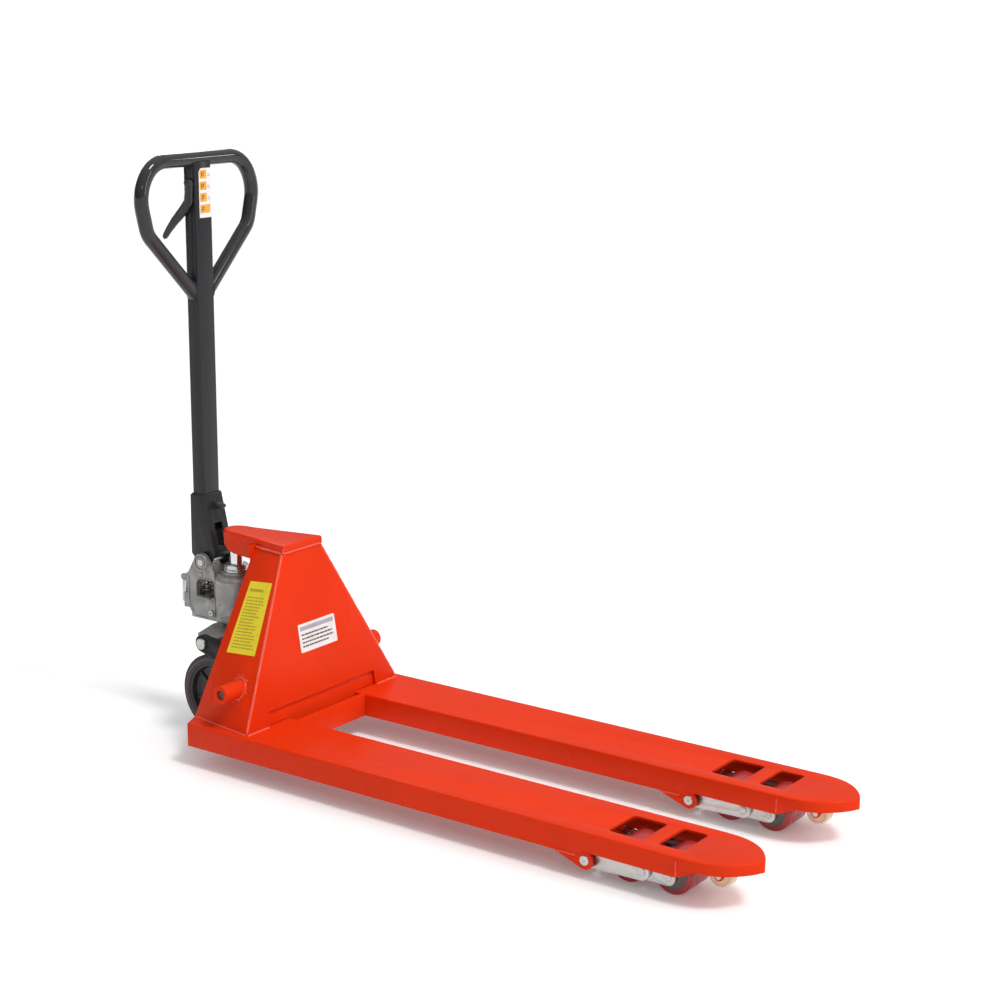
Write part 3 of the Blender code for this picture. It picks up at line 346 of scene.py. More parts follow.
def bridge(shape, rings, closed=False, lids=False):
    """Skin rings of vertices in order. A ring of one vertex is a tip; a closed skin ends where it begins."""
    for first, second in zip(rings, rings[1:] + (rings[:1] if closed else [])):
        count = max(len(first), len(second))
        for index in range(count):
            after = (index + 1) % count
            corners = (first[index % len(first)], first[after % len(first)],
                       second[after % len(second)], second[index % len(second)])
            shape.faces.new(list(dict.fromkeys(corners)))
    if lids:
        shape.faces.new(rings[0])
        shape.faces.new(rings[-1])
    bmesh.ops.recalc_face_normals(shape, faces=shape.faces)
    return shape


def turned_shape(profile, centre, axis, segments):
    """Turn (radius, height) points about an axis through the centre; one on the axis makes a tip."""
    shape = bmesh.new()
    rings = []
    for radius, height in profile:
        steps = circle(segments if radius > TIP_RADIUS else 1)
        rings.append([shape.verts.new(Vector(centre) + on_axis(axis, height, radius * cosine, radius * sine))
                      for cosine, sine in steps])
    return bridge(shape, rings, closed=profile[0][0] > TIP_RADIUS)


def pushed_shape(outline, axis, low, high, shape=None):
    """Push an outline along X, Y or Z; its points are in the other two axes, in that order."""
    shape = shape or bmesh.new()
    rings = [[shape.verts.new(on_axis(axis, level, a, b)) for a, b in outline] for level in (low, high)]
    return bridge(shape, rings, lids=True)


def swept_shape(path, radii, sides, flatten=1.0, flat_axis=None, shape=None, closed=False):
    """A round bar along 3D points; each point may have its own radius, and one direction may be flatter."""
    shape = shape or bmesh.new()
    rings = []
    side = None
    count = len(path)
    for index, point in enumerate(path):
        ahead = path[(index + 1) % count] if closed else path[min(index + 1, count - 1)]
        behind = path[index - 1] if closed else path[max(index - 1, 0)]
        tangent = (ahead - behind).normalized()
        if flat_axis is not None:
            side = Vector(flat_axis)
        elif side is None:
            side = tangent.orthogonal()
        side = (side - tangent * side.dot(tangent)).normalized()
        other = tangent.cross(side)
        radius = radii if isinstance(radii, float) else radii[index]
        rings.append([shape.verts.new(point + (side * cosine * flatten + other * sine) * radius)
                      for cosine, sine in circle(sides)])
    return bridge(shape, rings, closed, lids=not closed)


def copy_of(node):
    """A clean bmesh of a CAD node: welded, with its flat faces whole again."""
    source = frame["nodes"][node].data
    shape = bmesh.new()
    places = [shape.verts.new(vertex.co) for vertex in source.vertices]
    for face in source.polygons:
        try:
            shape.faces.new([places[index] for index in face.vertices])
        except ValueError:
            continue
    bmesh.ops.remove_doubles(shape, verts=shape.verts, dist=0.00001)
    bmesh.ops.dissolve_limit(shape, angle_limit=math.radians(0.4), verts=shape.verts, edges=shape.edges)
    return shape


def round_edges(shape, width, segments, chosen=None, least=30):
    """Round every edge that turns by more than this angle, or those of them that are chosen."""
    edges = [edge for edge in shape.edges
             if edge.is_manifold and edge.calc_face_angle(0.0) > math.radians(least)
             and (chosen is None or chosen(edge))]
    bmesh.ops.bevel(shape, geom=edges, offset=width, offset_type="OFFSET", segments=segments, profile=0.5,
                    affect="EDGES", clamp_overlap=True, miter_outer="SHARP")


def longer_than(length):
    return lambda edge: edge.calc_length() > length


# Pieces

def finish_piece(shape, name, body, finish, node=None, sharp=38):
    """Turn a bmesh into a piece on its body, in place of a CAD node if one is given.

    It is smooth apart from edges sharper than this angle.
    """
    bmesh.ops.recalc_face_normals(shape, faces=shape.faces)
    if shape.calc_volume(signed=True) < 0:
        bmesh.ops.reverse_faces(shape, faces=shape.faces)
    mesh = bpy.data.meshes.new(name)
    shape.to_mesh(mesh)
    shape.free()
    mesh.materials.append(FINISH[finish])
    mesh.shade_smooth()
    mesh.set_sharp_from_angle(angle=math.radians(sharp))
    piece = bpy.data.objects.new(name, mesh)
    bpy.context.scene.collection.objects.link(piece)
    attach(piece, body)
    if node:
        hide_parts(node)
    return piece


def refined(node, *roundings, sharp=38):
    """The CAD node's own shape, finished, and rounded by each (width, segments, chosen edges) in turn."""
    shape = copy_of(node)
    for width, segments, chosen in roundings:
        round_edges(shape, width, segments, chosen)
    return finish_piece(shape, node + "_skin", BODY_OF[node], SLOT_OF[node], node, sharp)


def dressed(node, width, segments=2):
    """The CAD node's own shape with all its sharp edges eased."""
    return refined(node, (width, segments, None))


def turned(name, profile, centre, body, finish, segments, axis="Y", node=None):
    return finish_piece(turned_shape(profile, centre, axis, segments), name, body, finish, node)


def turned_node(node, profile, centre, finish, segments, axis="Y"):
    """A lathe shape in place of a CAD node."""
    return turned(node + "_skin", profile, centre, BODY_OF[node], finish, segments, axis, node)


def centre_of(node):
    low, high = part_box(node)
    return (low + high) / 2


def pin_skin(node, radius, ease, hole=0.0, axis="Y"):
    """A round bar or pin at full smoothness, where its CAD node stands."""
    low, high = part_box(node)
    reach = (high - low)["XYZ".index(axis)] / 2
    profile = pin_profile(radius, -reach, reach, ease, hole)
    return turned_node(node, profile, (low + high) / 2, SLOT_OF[node], 48, axis)


def resampled(path, spacing):
    """The same line with points at even steps."""
    points = [path[0]]
    for first, second in zip(path, path[1:]):
        steps = max(1, round((second - first).length / spacing))
        points += [first.lerp(second, step / steps) for step in range(1, steps + 1)]
    return points


def weld(name, path, radius, body="chassis", finish="weld_paint", closed=False):
    """A hand-laid bead: ripples along it, a wandering width and tapered ends."""
    points = resampled([Vector(point) for point in path], radius * 0.7)
    if closed:
        points = points[:-1]
    radii = []
    for index, point in enumerate(points):
        ripple = 1.0 + 0.13 * math.sin(index * 2.2) + 0.22 * noise.noise(point * 90.0)
        ends = min(index, len(points) - 1 - index)
        taper = 1.0 if closed else min(1.0, 0.45 + 0.2 * ends)
        radii.append(radius * ripple * taper)
    return finish_piece(swept_shape(points, radii, 10, closed=closed), name, body, finish, sharp=80)


def drops(name, places, radius, body="chassis", finish="weld_paint"):
    """Spatter: flattened beads of different sizes."""
    shape = bmesh.new()
    for index, place in enumerate(places):
        size = radius * (0.6 + 0.7 * abs(math.sin(index * 1.7 + 0.6)))
        spot = Matrix.Translation(Vector(place)) @ Matrix.Diagonal((size, size * 0.8, size, 1.0))
        bmesh.ops.create_icosphere(shape, subdivisions=2, radius=1.0, matrix=spot)
    return finish_piece(shape, name, body, finish, sharp=80)


def ring_path(centre, radius, count=40, stretch=1.0):
    """A closed line round the Y axis, perhaps taller than it is wide; its last point is its first."""
    steps = circle(count)
    return [Vector(centre) + Vector((radius * cosine, 0, radius * stretch * sine))
            for cosine, sine in steps + steps[:1]]


def hex_head(name, place, facing, across, height, body, finish):
    """A hexagon head on a washer, both standing on a face that looks along facing."""
    washer = 0.0012
    rim = across * 0.68
    shape = turned_shape([(0, 0), (rim, 0), (rim, washer), (0, washer)], (0, 0, 0), "Z", 32)
    washer_edges = set(shape.edges)
    pushed_shape(arc((0, 0), across / 2 / math.cos(math.pi / 6), 0, 300, 5), "Z", washer, height, shape)
    round_edges(shape, 0.0005, 2, lambda edge: edge not in washer_edges)
    turn = Vector(facing).to_track_quat("Z", "Y").to_matrix().to_4x4()
    shape.transform(Matrix.Translation(Vector(place)) @ turn)
    return finish_piece(shape, name, body, finish)


def sheet_film(name, origin, along, up, outlines, lift, body, finish):
    """Thin film on a face: outlines measured along and up from the origin, raised a little."""
    along, up = Vector(along).normalized(), Vector(up).normalized()
    turn = Matrix((along, up, along.cross(up))).transposed().to_4x4()
    shape = bmesh.new()
    for outline in outlines:
        pushed_shape(outline, "Z", 0.0, lift, shape)
    shape.transform(Matrix.Translation(Vector(origin)) @ turn)
    return finish_piece(shape, name, body, finish)


# Driving places of the truck, in metres

FORK_TOP = 0.095
FORK_Y = 0.19
FORK_HALF = 0.08
FORK_REAR = -0.5385
SHOULDER = 0.66
TIP = 0.7965
ROLLERS = (("rear", 0.5345), ("front", 0.6305))
ROLLER_Z = 0.04
FACE_FOOT = -0.3815
FACE_HEAD = -0.4405
HEAD_Z = 0.441
CAP_TOP = 0.457
CAP_NOSE = -0.604
SKIRT_HEAD = 0.447
SKIRT_FOOT = 0.4072
SKIRT_RISE = 0.0235
TOWER_REAR = -0.5315
TOWER_HEEL = -0.556
SHAFT = Vector((-0.4495, 0.0, 0.173))
BOSS_RADIUS = 0.0195
BOSS_FACE = 0.261
STEER_X = -0.632
WHEEL = Vector((-0.638, 0.0575, 0.09))
PLUNGER_X = -0.7245
SPRING_FOOT = 0.293
SPRING_WIRE = 0.0021
CHEEK = 0.044
HANDLE_PIN = Vector((-0.699, 0.0, 0.376))
COLUMN_X = -0.718
COLUMN_HALF = Vector((0.017, 0.026))
COLUMN_TOP = 1.257
LOOP_HEIGHT = 1.262
LOOP_TUBE = 0.0155
TRIGGER = Vector((-0.713, 0.0, 1.213))


def half_width(z):
    """Half the width of the tower's front sheet."""
    return 0.2545 - 0.192 * (z - FORK_TOP) / (HEAD_Z - FORK_TOP)


def face_x(z):
    """Where the front sheet's outer face stands."""
    return FACE_FOOT + (FACE_HEAD - FACE_FOOT) * (z - FORK_TOP) / (HEAD_Z - FORK_TOP)


def side_y(x, z):
    """Distance of a side sheet's outer face from the truck's middle."""
    return half_width(z) - 0.16 * (face_x(z) - 0.0063 - x)


def nose_half(x):
    """Half the width of a fork, which narrows from its shoulder to its tip."""
    share = min(max((x - SHOULDER) / (TIP - SHOULDER), 0.0), 1.0)
    return FORK_HALF * (1 - share ** 3) ** (5 / 6)


# Forks

def fork_skin(name, side):
    """The pressed fork with a smooth nose, a rounded top edge and eased windows."""
    y = side * FORK_Y
    node = "fork_" + name
    shape = copy_of(node)

    def off_rim(vertex):
        return abs(abs(vertex.co.y - y) - nose_half(vertex.co.x))

    def nose_rim(edge):
        first, second = edge.verts
        level = abs(first.co.z - second.co.z) < 1e-5
        past_shoulder = min(first.co.x, second.co.x) > SHOULDER - 1e-4
        return level and past_shoulder and max(off_rim(first), off_rim(second)) < 4e-4

    def top_rim(edge):
        return all(vertex.co.z > FORK_TOP - 1e-4 and vertex.co.x > FORK_REAR - 1e-4 and off_rim(vertex) < 7e-4
                   for vertex in edge.verts)

    made = bmesh.ops.subdivide_edges(shape, edges=[edge for edge in shape.edges if nose_rim(edge)], cuts=3)
    for vertex in made["geom_inner"]:
        if isinstance(vertex, bmesh.types.BMVert) and vertex.co.x < TIP - 0.004:
            vertex.co.y = y + math.copysign(nose_half(vertex.co.x), vertex.co.y - y)
    for vertex in shape.verts:
        if FORK_TOP - 0.001 < vertex.co.z < FORK_TOP + 0.0005:
            vertex.co.z = FORK_TOP
    bmesh.ops.remove_doubles(shape, verts=shape.verts, dist=0.0001)
    round_edges(shape, 0.005, 6, top_rim)
    round_edges(shape, 0.0009, 2, longer_than(0.0012))
    finish_piece(shape, node + "_skin", "chassis", "red_paint", node)


def ear_and_fork_welds(name, side):
    for edge in (-1, 1):
        rim = side * FORK_Y + edge * (FORK_HALF + 0.0002)
        seam = rim - edge * 0.0004
        weld(f"ear_weld_{name}_{edge}", [(0.405, rim, 0.045), (0.447, rim, 0.0452)], 0.0016)
        weld(f"nose_seam_{name}_{edge}", [(SHOULDER, seam, 0.0565), (SHOULDER, seam, 0.0885)], 0.001)


# Tower

def tower_skins():
    def corner(edge):
        return edge.calc_length() > 0.1 and all(
            abs(abs(vertex.co.y) - half_width(vertex.co.z)) < 0.0008
            and abs(vertex.co.x - face_x(vertex.co.z)) < 0.0008 for vertex in edge.verts)

    def boss_rim(edge):
        return all(abs(abs(vertex.co.y) - BOSS_FACE) < 1e-4 for vertex in edge.verts)

    refined("tower_front", (0.0036, 5, corner), (0.0009, 2, longer_than(0.003)))
    for name, side in SIDES:
        refined("tower_side_" + name, (0.0016, 3, boss_rim), (0.0009, 2, longer_than(0.004)))
        tower_welds(name, side)
        grease = mm((0, 255.7), (8.8, 255.7), (9.2, 256.1), (7, 256.9), (4, 256.5), (2.2, 257.2),
                    (0, 257.2))
        turned("shaft_grease_" + name, flipped(grease, side), SHAFT, "rocker", "grease", 32)


def tower_welds(name, side):
    """The beads of one side sheet, and the spatter round its boss."""
    seam = []
    for step in range(9):
        z = FORK_TOP + 0.001 + (HEAD_Z - FORK_TOP - 0.002) * step / 8
        seam.append((face_x(z) - 0.0034, side * (half_width(z) - 0.0012), z))
    weld("corner_weld_" + name, seam, 0.0034)
    foot = [(x, side * (side_y(x, FORK_TOP) + 0.0006), FORK_TOP + 0.0004)
            for x in (TOWER_HEEL + 0.002, -0.47, FACE_FOOT - 0.004)]
    weld("foot_weld_" + name, foot, 0.003)
    weld("front_foot_weld_" + name, [(FACE_FOOT + 0.0012, side * y, FORK_TOP) for y in (0.254, 0.183)], 0.003)
    ring = [(x, side * side_y(x, z), z) for x, _, z in ring_path(SHAFT, BOSS_RADIUS + 0.001)]
    weld("boss_weld_" + name, ring, 0.003, closed=True)
    spots = []
    for index in range(15):
        angle = -1.0 + 0.16 * index + 0.9 * math.sin(index * 2.3)
        reach = BOSS_RADIUS + 0.0035 + 0.0032 * abs(math.sin(index * 4.1))
        x, z = SHAFT.x + reach * math.cos(angle), SHAFT.z + reach * math.sin(angle)
        spots.append((x, side * (side_y(x, z) + 0.0004), z))
    drops("boss_spatter_" + name, spots, 0.0021)


def cap_outline(inset, front, steps=18):
    """The cap from above: it narrows to the rear and ends in a full round."""
    nose_half_width, length = 0.0325 - inset, 0.053 - inset
    half = [(front, 0.0645 - inset), (TOWER_REAR, 0.046 - inset), (CAP_NOSE, nose_half_width)]
    for step in range(1, steps + 1):
        angle = math.pi / 2 * step / steps
        half.append((CAP_NOSE - length * math.sin(angle) ** 0.8, nose_half_width * math.cos(angle) ** 0.8))
    return half + [(x, -y) for x, y in reversed(half[:-1])]


def skirt_foot(x):
    """The skirt's lower edge, which curves up towards the rear."""
    return SKIRT_FOOT + SKIRT_RISE * max(0.0, (CAP_NOSE + 0.006 - x) / 0.059) ** 2


def cap_skin():
    """Pressed cap: a lid with a rounded rim, and the deep skirt behind the tower."""
    lid = pushed_shape(cap_outline(0, FACE_HEAD + 0.0025), "Z", HEAD_Z + 0.0003, CAP_TOP)
    round_edges(lid, 0.005, 6, lambda edge: all(vertex.co.z > CAP_TOP - 1e-5 for vertex in edge.verts), 20)
    round_edges(lid, 0.001, 2, lambda edge: all(vertex.co.z < HEAD_Z + 0.001 for vertex in edge.verts), 20)
    finish_piece(lid, "tower_cap_lid", "chassis", "red_paint", "tower_cap")
    outer = cap_outline(0.0001, TOWER_REAR - 0.0013)
    inner = cap_outline(0.0045, TOWER_REAR - 0.006)
    skirt = bmesh.new()
    rings = [[skirt.verts.new((x, y, level or skirt_foot(x))) for x, y in outline]
             for outline, level in ((outer, SKIRT_HEAD), (outer, None), (inner, None), (inner, SKIRT_HEAD))]
    bridge(skirt, rings, closed=True)
    round_edges(skirt, 0.001, 2, lambda edge: max(vertex.co.z for vertex in edge.verts) < 0.43, 40)
    finish_piece(skirt, "tower_cap_skirt", "chassis", "red_paint")
    front = FACE_HEAD + 0.0012
    weld("cap_front_weld", [(front, y, HEAD_Z - 0.0008) for y in (-0.0625, 0.0625)], 0.0026)
    for name, side in SIDES:
        line = [(x, side * (side_y(x, HEAD_Z) + 0.0006), HEAD_Z - 0.0002)
                for x in (-0.442, -0.49, TOWER_REAR)]
        weld("cap_side_weld_" + name, line, 0.003)
        drops("cap_corner_spots_" + name, [(front + 0.0008, side * 0.0632, 0.4485),
                                           (front + 0.0004, side * 0.064, 0.4425),
                                           (front, side * 0.061, 0.4385)], 0.0026)


def ram_skins():
    socket = [(0.0, CAP_TOP - 0.0053), (0.019, CAP_TOP - 0.0053), (0.019, 0.44), (0.0178, 0.4286),
              (0.017, 0.428), (0.014, 0.428), (0.0133, 0.4286), (0.01, 0.4345), (0.0, 0.436)]
    turned_node("ram_socket", socket, (STEER_X, 0, 0), "silver_paint", 64, "Z")
    ram = mm((0, 262), (13, 262), (15.5, 263.2), (16, 265), (16, 424), (15, 426.6), (12.5, 428.2),
             (9.5, 433.5), (6, 435), (0, 435.5))
    turned_node("lift_ram", ram, (STEER_X, 0, 0), "chrome", 64, "Z")


# Wheels and rollers

def steer_wheel_skins():
    """Two wheels, each of a tyre and a hub, with a rim line, a light grey bead that is a painted highlight on
    the tyre's moulded edge, a shield and ribs on both faces.
    """
    tyre = both_faces(mm((70, -24, 0), (86.5, -25, 3), (90, -21.5, 3)))
    hub = both_faces(mm((10.5, -25, 0.5), (23.5, -25, 1.5), (26.8, -10.5, 4), (59.5, -10.5, 5),
                        (64, -23.2, 1.5), (69.3, -23.2, 0)))
    shield = rounded(mm((11, 25.5, 0), (18.5, 25.5, 0.4), (18.5, 24.2, 0), (11, 24.2, 0)))
    for name, side in SIDES:
        centre = Vector((WHEEL.x, side * WHEEL.y, WHEEL.z))
        body = "steer_wheel_" + name
        turned_node("steer_tyre_" + name, tyre, centre, "black_tyre", 112)
        turned_node("steer_hub_" + name, hub, centre, "black_tyre", 80)
        for face in (-1, 1):
            # The light grey bead on each face is a painted highlight along the tyre's moulded edge.
            for prefix, radius, wire, finish in (("rim_line_", 0.0815, 0.0011, "wheel_red"),
                                                 ("rim_bead_", 0.0796, 0.0006, "rim_highlight_grey")):
                path = ring_path(centre + Vector((0, face * 0.0247, 0)), radius, 96)[:-1]
                finish_piece(swept_shape(path, wire, 8, closed=True), f"{prefix}{name}_{face}", body, finish)
            turned(f"bearing_shield_{name}_{face}", flipped(shield, face), centre, body, "zinc_plate", 48)
            ribs = bmesh.new()
            for spoke in range(6):
                angle = math.radians(60 * spoke + 20)
                ends = [centre + Vector((reach * math.cos(angle), face * 0.013, reach * math.sin(angle)))
                        for reach in (0.0262, 0.061)]
                swept_shape(ends, 0.0042, 10, 0.55, (0, 1, 0), ribs)
            finish_piece(ribs, f"hub_ribs_{name}_{face}", body, "black_tyre")


def load_wheel_skins():
    """The load rollers and entry rollers, with the pins, arms, bogies and rods that carry them."""
    tread = both_faces(mm((30, -39.2, 0), (30, -40, 0), (36.8, -40, 1.5), (40, -36.8, 2.5)))
    hub = both_faces(mm((8, -48.8, 0.3), (20, -48.8, 1), (23.5, -45, 1), (30, -40.8, 1)), 3)
    entry = both_faces(mm((4.7, -13.5, 0.5), (11, -13.5, 0.6), (12.2, -12.2, 0.6), (18.5, -12.2, 0.6),
                          (20, -13.5, 0.6), (24, -10.8, 2)), 3)
    pin_head = rounded(mm((0, 19.2, 0), (6.2, 19.2, 0.4), (5.8, 21.2, 0.8), (0, 21.6, 0)))
    for name, side in SIDES:
        for end, x in ROLLERS:
            centre = Vector((x, side * FORK_Y, ROLLER_Z))
            body = f"load_roller_{name}_{end}"
            turned(f"load_tread_{name}_{end}", tread, centre, body, "red_tread", 80, node=body)
            turned(f"load_hub_{name}_{end}", hub, centre, body, "hub_grey", 64)
            pin_skin(f"roller_axle_{name}_{end}", 0.0075, 0.0008, 0.0016)
        turned_node("entry_roller_" + name, entry, centre_of("entry_roller_" + name), "cream_nylon", 72)
        pin = "entry_pin_" + name
        pin_skin(pin, 0.004, 0.0005)
        for edge in (-1, 1):
            turned(f"entry_head_{name}_{edge}", flipped(pin_head, edge), centre_of(pin), "chassis",
                   "zinc_plate", 32)
        pin_skin("lug_pin_" + name, 0.01, 0.0012, 0.002)
        for node, width in (("load_arm_", 0.001), ("bogie_", 0.0009), ("push_rod_", 0.0008)):
            dressed(node + name, width)


# Rocker, pump and release valve

def rocker_skins():
    dressed("rocker", 0.001)
    pin_skin("rocker_shaft", 0.01, 0.001, 0.002)
    pin = mm((0, 86), (9.5, 86), (11, 87.5), (11, 119.8), (12.5, 119.8), (12.5, 123.6), (12.1, 124.2),
             (11.2, 124.5), (2.4, 124.5), (0, 123.6))
    for name, side in SIDES:
        for place in (0.1043, 0.1202, 0.1728):
            foot = ring_path(SHAFT + Vector((0, side * place, 0)), 0.0226)
            weld(f"rocker_weld_{name}_{int(place * 10000)}", foot, 0.002, "rocker", "dark_iron", True)
        turned_node("thrust_pin_" + name, flipped(pin, side), (STEER_X, 0, 0.218), "zinc_plate", 56)
    dressed("thrust_plate", 0.0018, 3)
    bearing = both_faces(mm((19, -5.2, 0), (31.6, -5.2, 0), (32, -4.8, 0), (32, -2.3, 0), (31.2, -1.9, 0),
                            (30.6, -1.3, 0)))
    turned_node("thrust_bearing", bearing, (STEER_X, 0, 0.2395), "bright_steel", 72, "Z")


def pump_skins():
    axis = (STEER_X, 0, 0)
    dressed("pump_body", 0.0011)
    shoulder = [(36 + 16 * cosine, 340 + 14 * sine) for cosine, sine in arc((0, 0), 1, 9, 90, 9)]
    tank = mm((52, 262.3), (52, 340), *shoulder, (33.9, 354.6), (33.5, 355.6), (33.5, 359.2), (32.7, 360),
              (23.4, 360), (23.4, 350), (35, 350), (48, 337), (48, 262.3))
    turned_node("reservoir", tank, axis, "silver_paint", 96, "Z")
    gland = mm((16.8, 360.3), (28.4, 360.3), (29, 360.9), (29, 365.4), (28.6, 366), (27.2, 366.4),
               (27, 367.2), (27, 369.4), (26.2, 369.9), (26.2, 370.6), (27, 371.1), (27, 373.3),
               (26.2, 374.2), (23.8, 376.8), (23, 377), (17.6, 377), (16.8, 376.2))
    turned_node("gland_nut", gland, axis, "gland_metal", 72, "Z")
    foot_bead = mm((52, 263), (53, 263.6), (53, 266.8), (52, 267.4))
    turned("reservoir_foot_bead", foot_bead, axis, "pump_unit", "silver_paint", 96, "Z")
    hex_head("filler_plug", (STEER_X + 0.012, 0.04, 0.3515), (0.15, 0.55, 1.0), 0.012, 0.006, "pump_unit",
             "zinc_plate")
    pin_skin("handle_pin", 0.008, 0.001, 0.0018)
    pin_skin("press_roller", 0.01, 0.001)
    pin_skin("steer_axle", 0.01, 0.001, 0.002)
    for node, width in (("axle_block", 0.002), ("release_valve", 0.001), ("valve_lever", 0.0007)):
        dressed(node, width)
    for name, side in SIDES:
        for prefix, place, across, height in (("chest_bolt_", (-0.7763, side * 0.015, 0.262), 0.0058, 0.0032),
                                              ("wall_bolt_", (-0.7473, side * 0.03, 0.299), 0.009, 0.005)):
            hex_head(prefix + name, place, (-1, 0, 0), across, height, "pump_unit", "zinc_plate")


def cheek_details():
    """What stands on the pump's two cheeks: rims, washers, bosses, screws, ribs and lugs."""
    rim = rounded(mm((15.8, 44, 0), (15.8, 47.4, 0.8), (20.3, 47.4, 1.2), (20.3, 44, 0)))
    washer = rounded(mm((8.4, 44.8, 0), (8.4, 46.4, 0.3), (13.2, 46.4, 0.5), (13.2, 44.8, 0)))
    boss = rounded(mm((0, 44, 0), (6.2, 44, 0), (5.5, 46.8, 1), (0, 46.8, 0)))
    screw = mm((0, 49), (3, 49), (3, 52), (6, 52.2), (6.6, 51.6), (6.6, 47.8), (0, 47.8))
    rounds = (("pin_boss_rim_", rim, HANDLE_PIN, "silver_paint", 64),
              ("pin_washer_", washer, HANDLE_PIN, "silver_paint", 48),
              ("cheek_boss_", boss, (-0.699, 0, 0.348), "silver_paint", 32),
              ("socket_screw_", screw, (-0.6665, 0, 0.265), "zinc_plate", 40))
    ridge = mm((-737.5, 340), (-738, 278), (-721.5, 250.5), (-686, 250))
    lip = mm((-664, 340.2), (-700, 340.2), (-710.5, 336), (-715, 325.5), (-715, 297.5), (-700, 294),
             (-664, 294))
    lug = mm((-686.7, 288.7), (-660, 302), (-655.6, 299), (-655.1, 278.1), (-657.4, 258.3), (-674.8, 255.2),
             (-683.5, 255.9), (-677.3, 265.9))
    for name, side in SIDES:
        for prefix, profile, centre, finish, segments in rounds:
            turned(prefix + name, flipped(profile, side), centre, "pump_unit", finish, segments)
        for prefix, line, radius in (("cheek_ridge_", ridge, 0.002), ("window_lip_", lip, 0.0018)):
            path = resampled([Vector((x, side * (CHEEK + 0.0006), z)) for x, z in line], 0.004)
            finish_piece(swept_shape(path, radius, 12), prefix + name, "pump_unit", "silver_paint", sharp=60)
        shape = pushed_shape(lug, "Y", side * (CHEEK + 0.0005), side * (CHEEK + 0.0038))
        round_edges(shape, 0.001, 3)
        finish_piece(shape, "cheek_lug_" + name, "pump_unit", "silver_paint")


def plunger_skins():
    """The plunger, and its spring, which is squeezed as the plunger slides down."""
    plunger = mm((0, 284), (7.2, 284), (8, 284.8), (8, 344), (16.8, 344), (17.5, 344.7), (17.5, 350),
                 (16.8, 351.2), (12, 354), (6, 354.5), (0, 354.5))
    turned_node("plunger", plunger, (PLUNGER_X, 0, 0), "bright_steel", 48, "Z")
    radius, height, turns, steps_per_turn = 0.014, 0.048, 4.5, 36
    steps = int(turns * steps_per_turn)
    coil = []
    for step in range(steps + 1):
        angle = 2 * math.pi * step / steps_per_turn
        coil.append(Vector((PLUNGER_X + radius * math.cos(angle), radius * math.sin(angle),
                            SPRING_FOOT + height * step / steps)))
    spring = finish_piece(swept_shape(coil, SPRING_WIRE, 14), "plunger_spring_skin", "pump_unit",
                          "spring_steel", "plunger_spring", 60)
    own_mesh(spring)


# Handle

def loop_points():
    half = [(0.015, 0.968, 0), (0.158, 1.112, 0.055), (0.181, 1.208, 0.085), (0.13, LOOP_HEIGHT, 0.07),
            (0.0, LOOP_HEIGHT, 0)]
    points = rounded(half, 14, closed=False)
    right = [Vector((COLUMN_X, -y, z)) for y, z in points]
    left = [Vector((COLUMN_X, y, z)) for y, z in reversed(points[:-1])]
    return resampled(right + left, 0.012)


def lofted(path, widths, thicks):
    """A flat blade along a path in the XZ plane, with softly squared sections."""
    shape = bmesh.new()
    rings = []
    for index, point in enumerate(path):
        tangent = (path[min(index + 1, len(path) - 1)] - path[max(index - 1, 0)]).normalized()
        across = tangent.cross(Vector((0, 1, 0))).normalized()
        ring = []
        for cosine, sine in circle(24):
            a = widths[index] * math.copysign(abs(cosine) ** 0.6, cosine)
            b = thicks[index] * math.copysign(abs(sine) ** 0.6, sine)
            ring.append(shape.verts.new(point + across * a + Vector((0, b, 0))))
        rings.append(ring)
    return bridge(shape, rings, lids=True)


def trigger_skin():
    """The black finger lever with its boss, screw, shaft and crank."""
    controls = mm((-713, 1219.5, 7), (-713, 1213, 9.5), (-714.5, 1193, 9.8), (-716.5, 1172, 10.6),
                  (-729, 1156, 11.2), (-744, 1142, 10.4), (-759, 1128, 9.2), (-773, 1113, 7.8),
                  (-785, 1098.5, 6.4), (-789, 1093, 5.4), (-791.8, 1089.2, 2.6))
    path, widths, thicks = [], [], []
    for first, second in zip(controls, controls[1:]):
        for quarter in range(4):
            x, z, width = (a + (b - a) * quarter / 4 for a, b in zip(first, second))
            path.append(Vector((x, -0.0322, z)))
            widths.append(width)
            thicks.append(min(0.005, width * 0.9))
    finish_piece(lofted(path, widths, thicks), "release_lever_skin", "release_lever", "trigger_black",
                 "release_lever", 60)
    boss = rounded(mm((0, -36.6, 0), (8.8, -36.6, 0), (8.8, -39.2, 0.8), (0, -39.2, 0)))
    screw = rounded(mm((0, -39, 0), (4.2, -39, 0), (3.6, -41.2, 0.8), (0, -41.2, 0)))
    shaft = pin_profile(0.005, -0.03, 0.014, 0.0006)
    for name, profile, finish, segments in (("trigger_boss", boss, "trigger_black", 40),
                                            ("trigger_screw", screw, "trigger_black", 32),
                                            ("trigger_shaft_skin", shaft, "bright_steel", 32)):
        turned(name, profile, TRIGGER, "release_lever", finish, segments)
    front, rear = TRIGGER.x + 0.007, TRIGGER.x - 0.015
    crank = rounded([(front, TRIGGER.z - 0.0075, 0.004), (front, TRIGGER.z + 0.0075, 0.004),
                     (rear, TRIGGER.z + 0.0045, 0.003), (rear, TRIGGER.z - 0.0045, 0.003)], 5)
    finish_piece(pushed_shape(crank, "Y", 0.003, 0.008), "trigger_crank_skin", "release_lever",
                 "trigger_black")
    for height in (1.2285, 1.176):
        hex_head(f"column_screw_{int(height * 10000)}", (-0.706, -0.026, height), (0, -1, 0), 0.0052, 0.003,
                 "handle", "dark_paint")


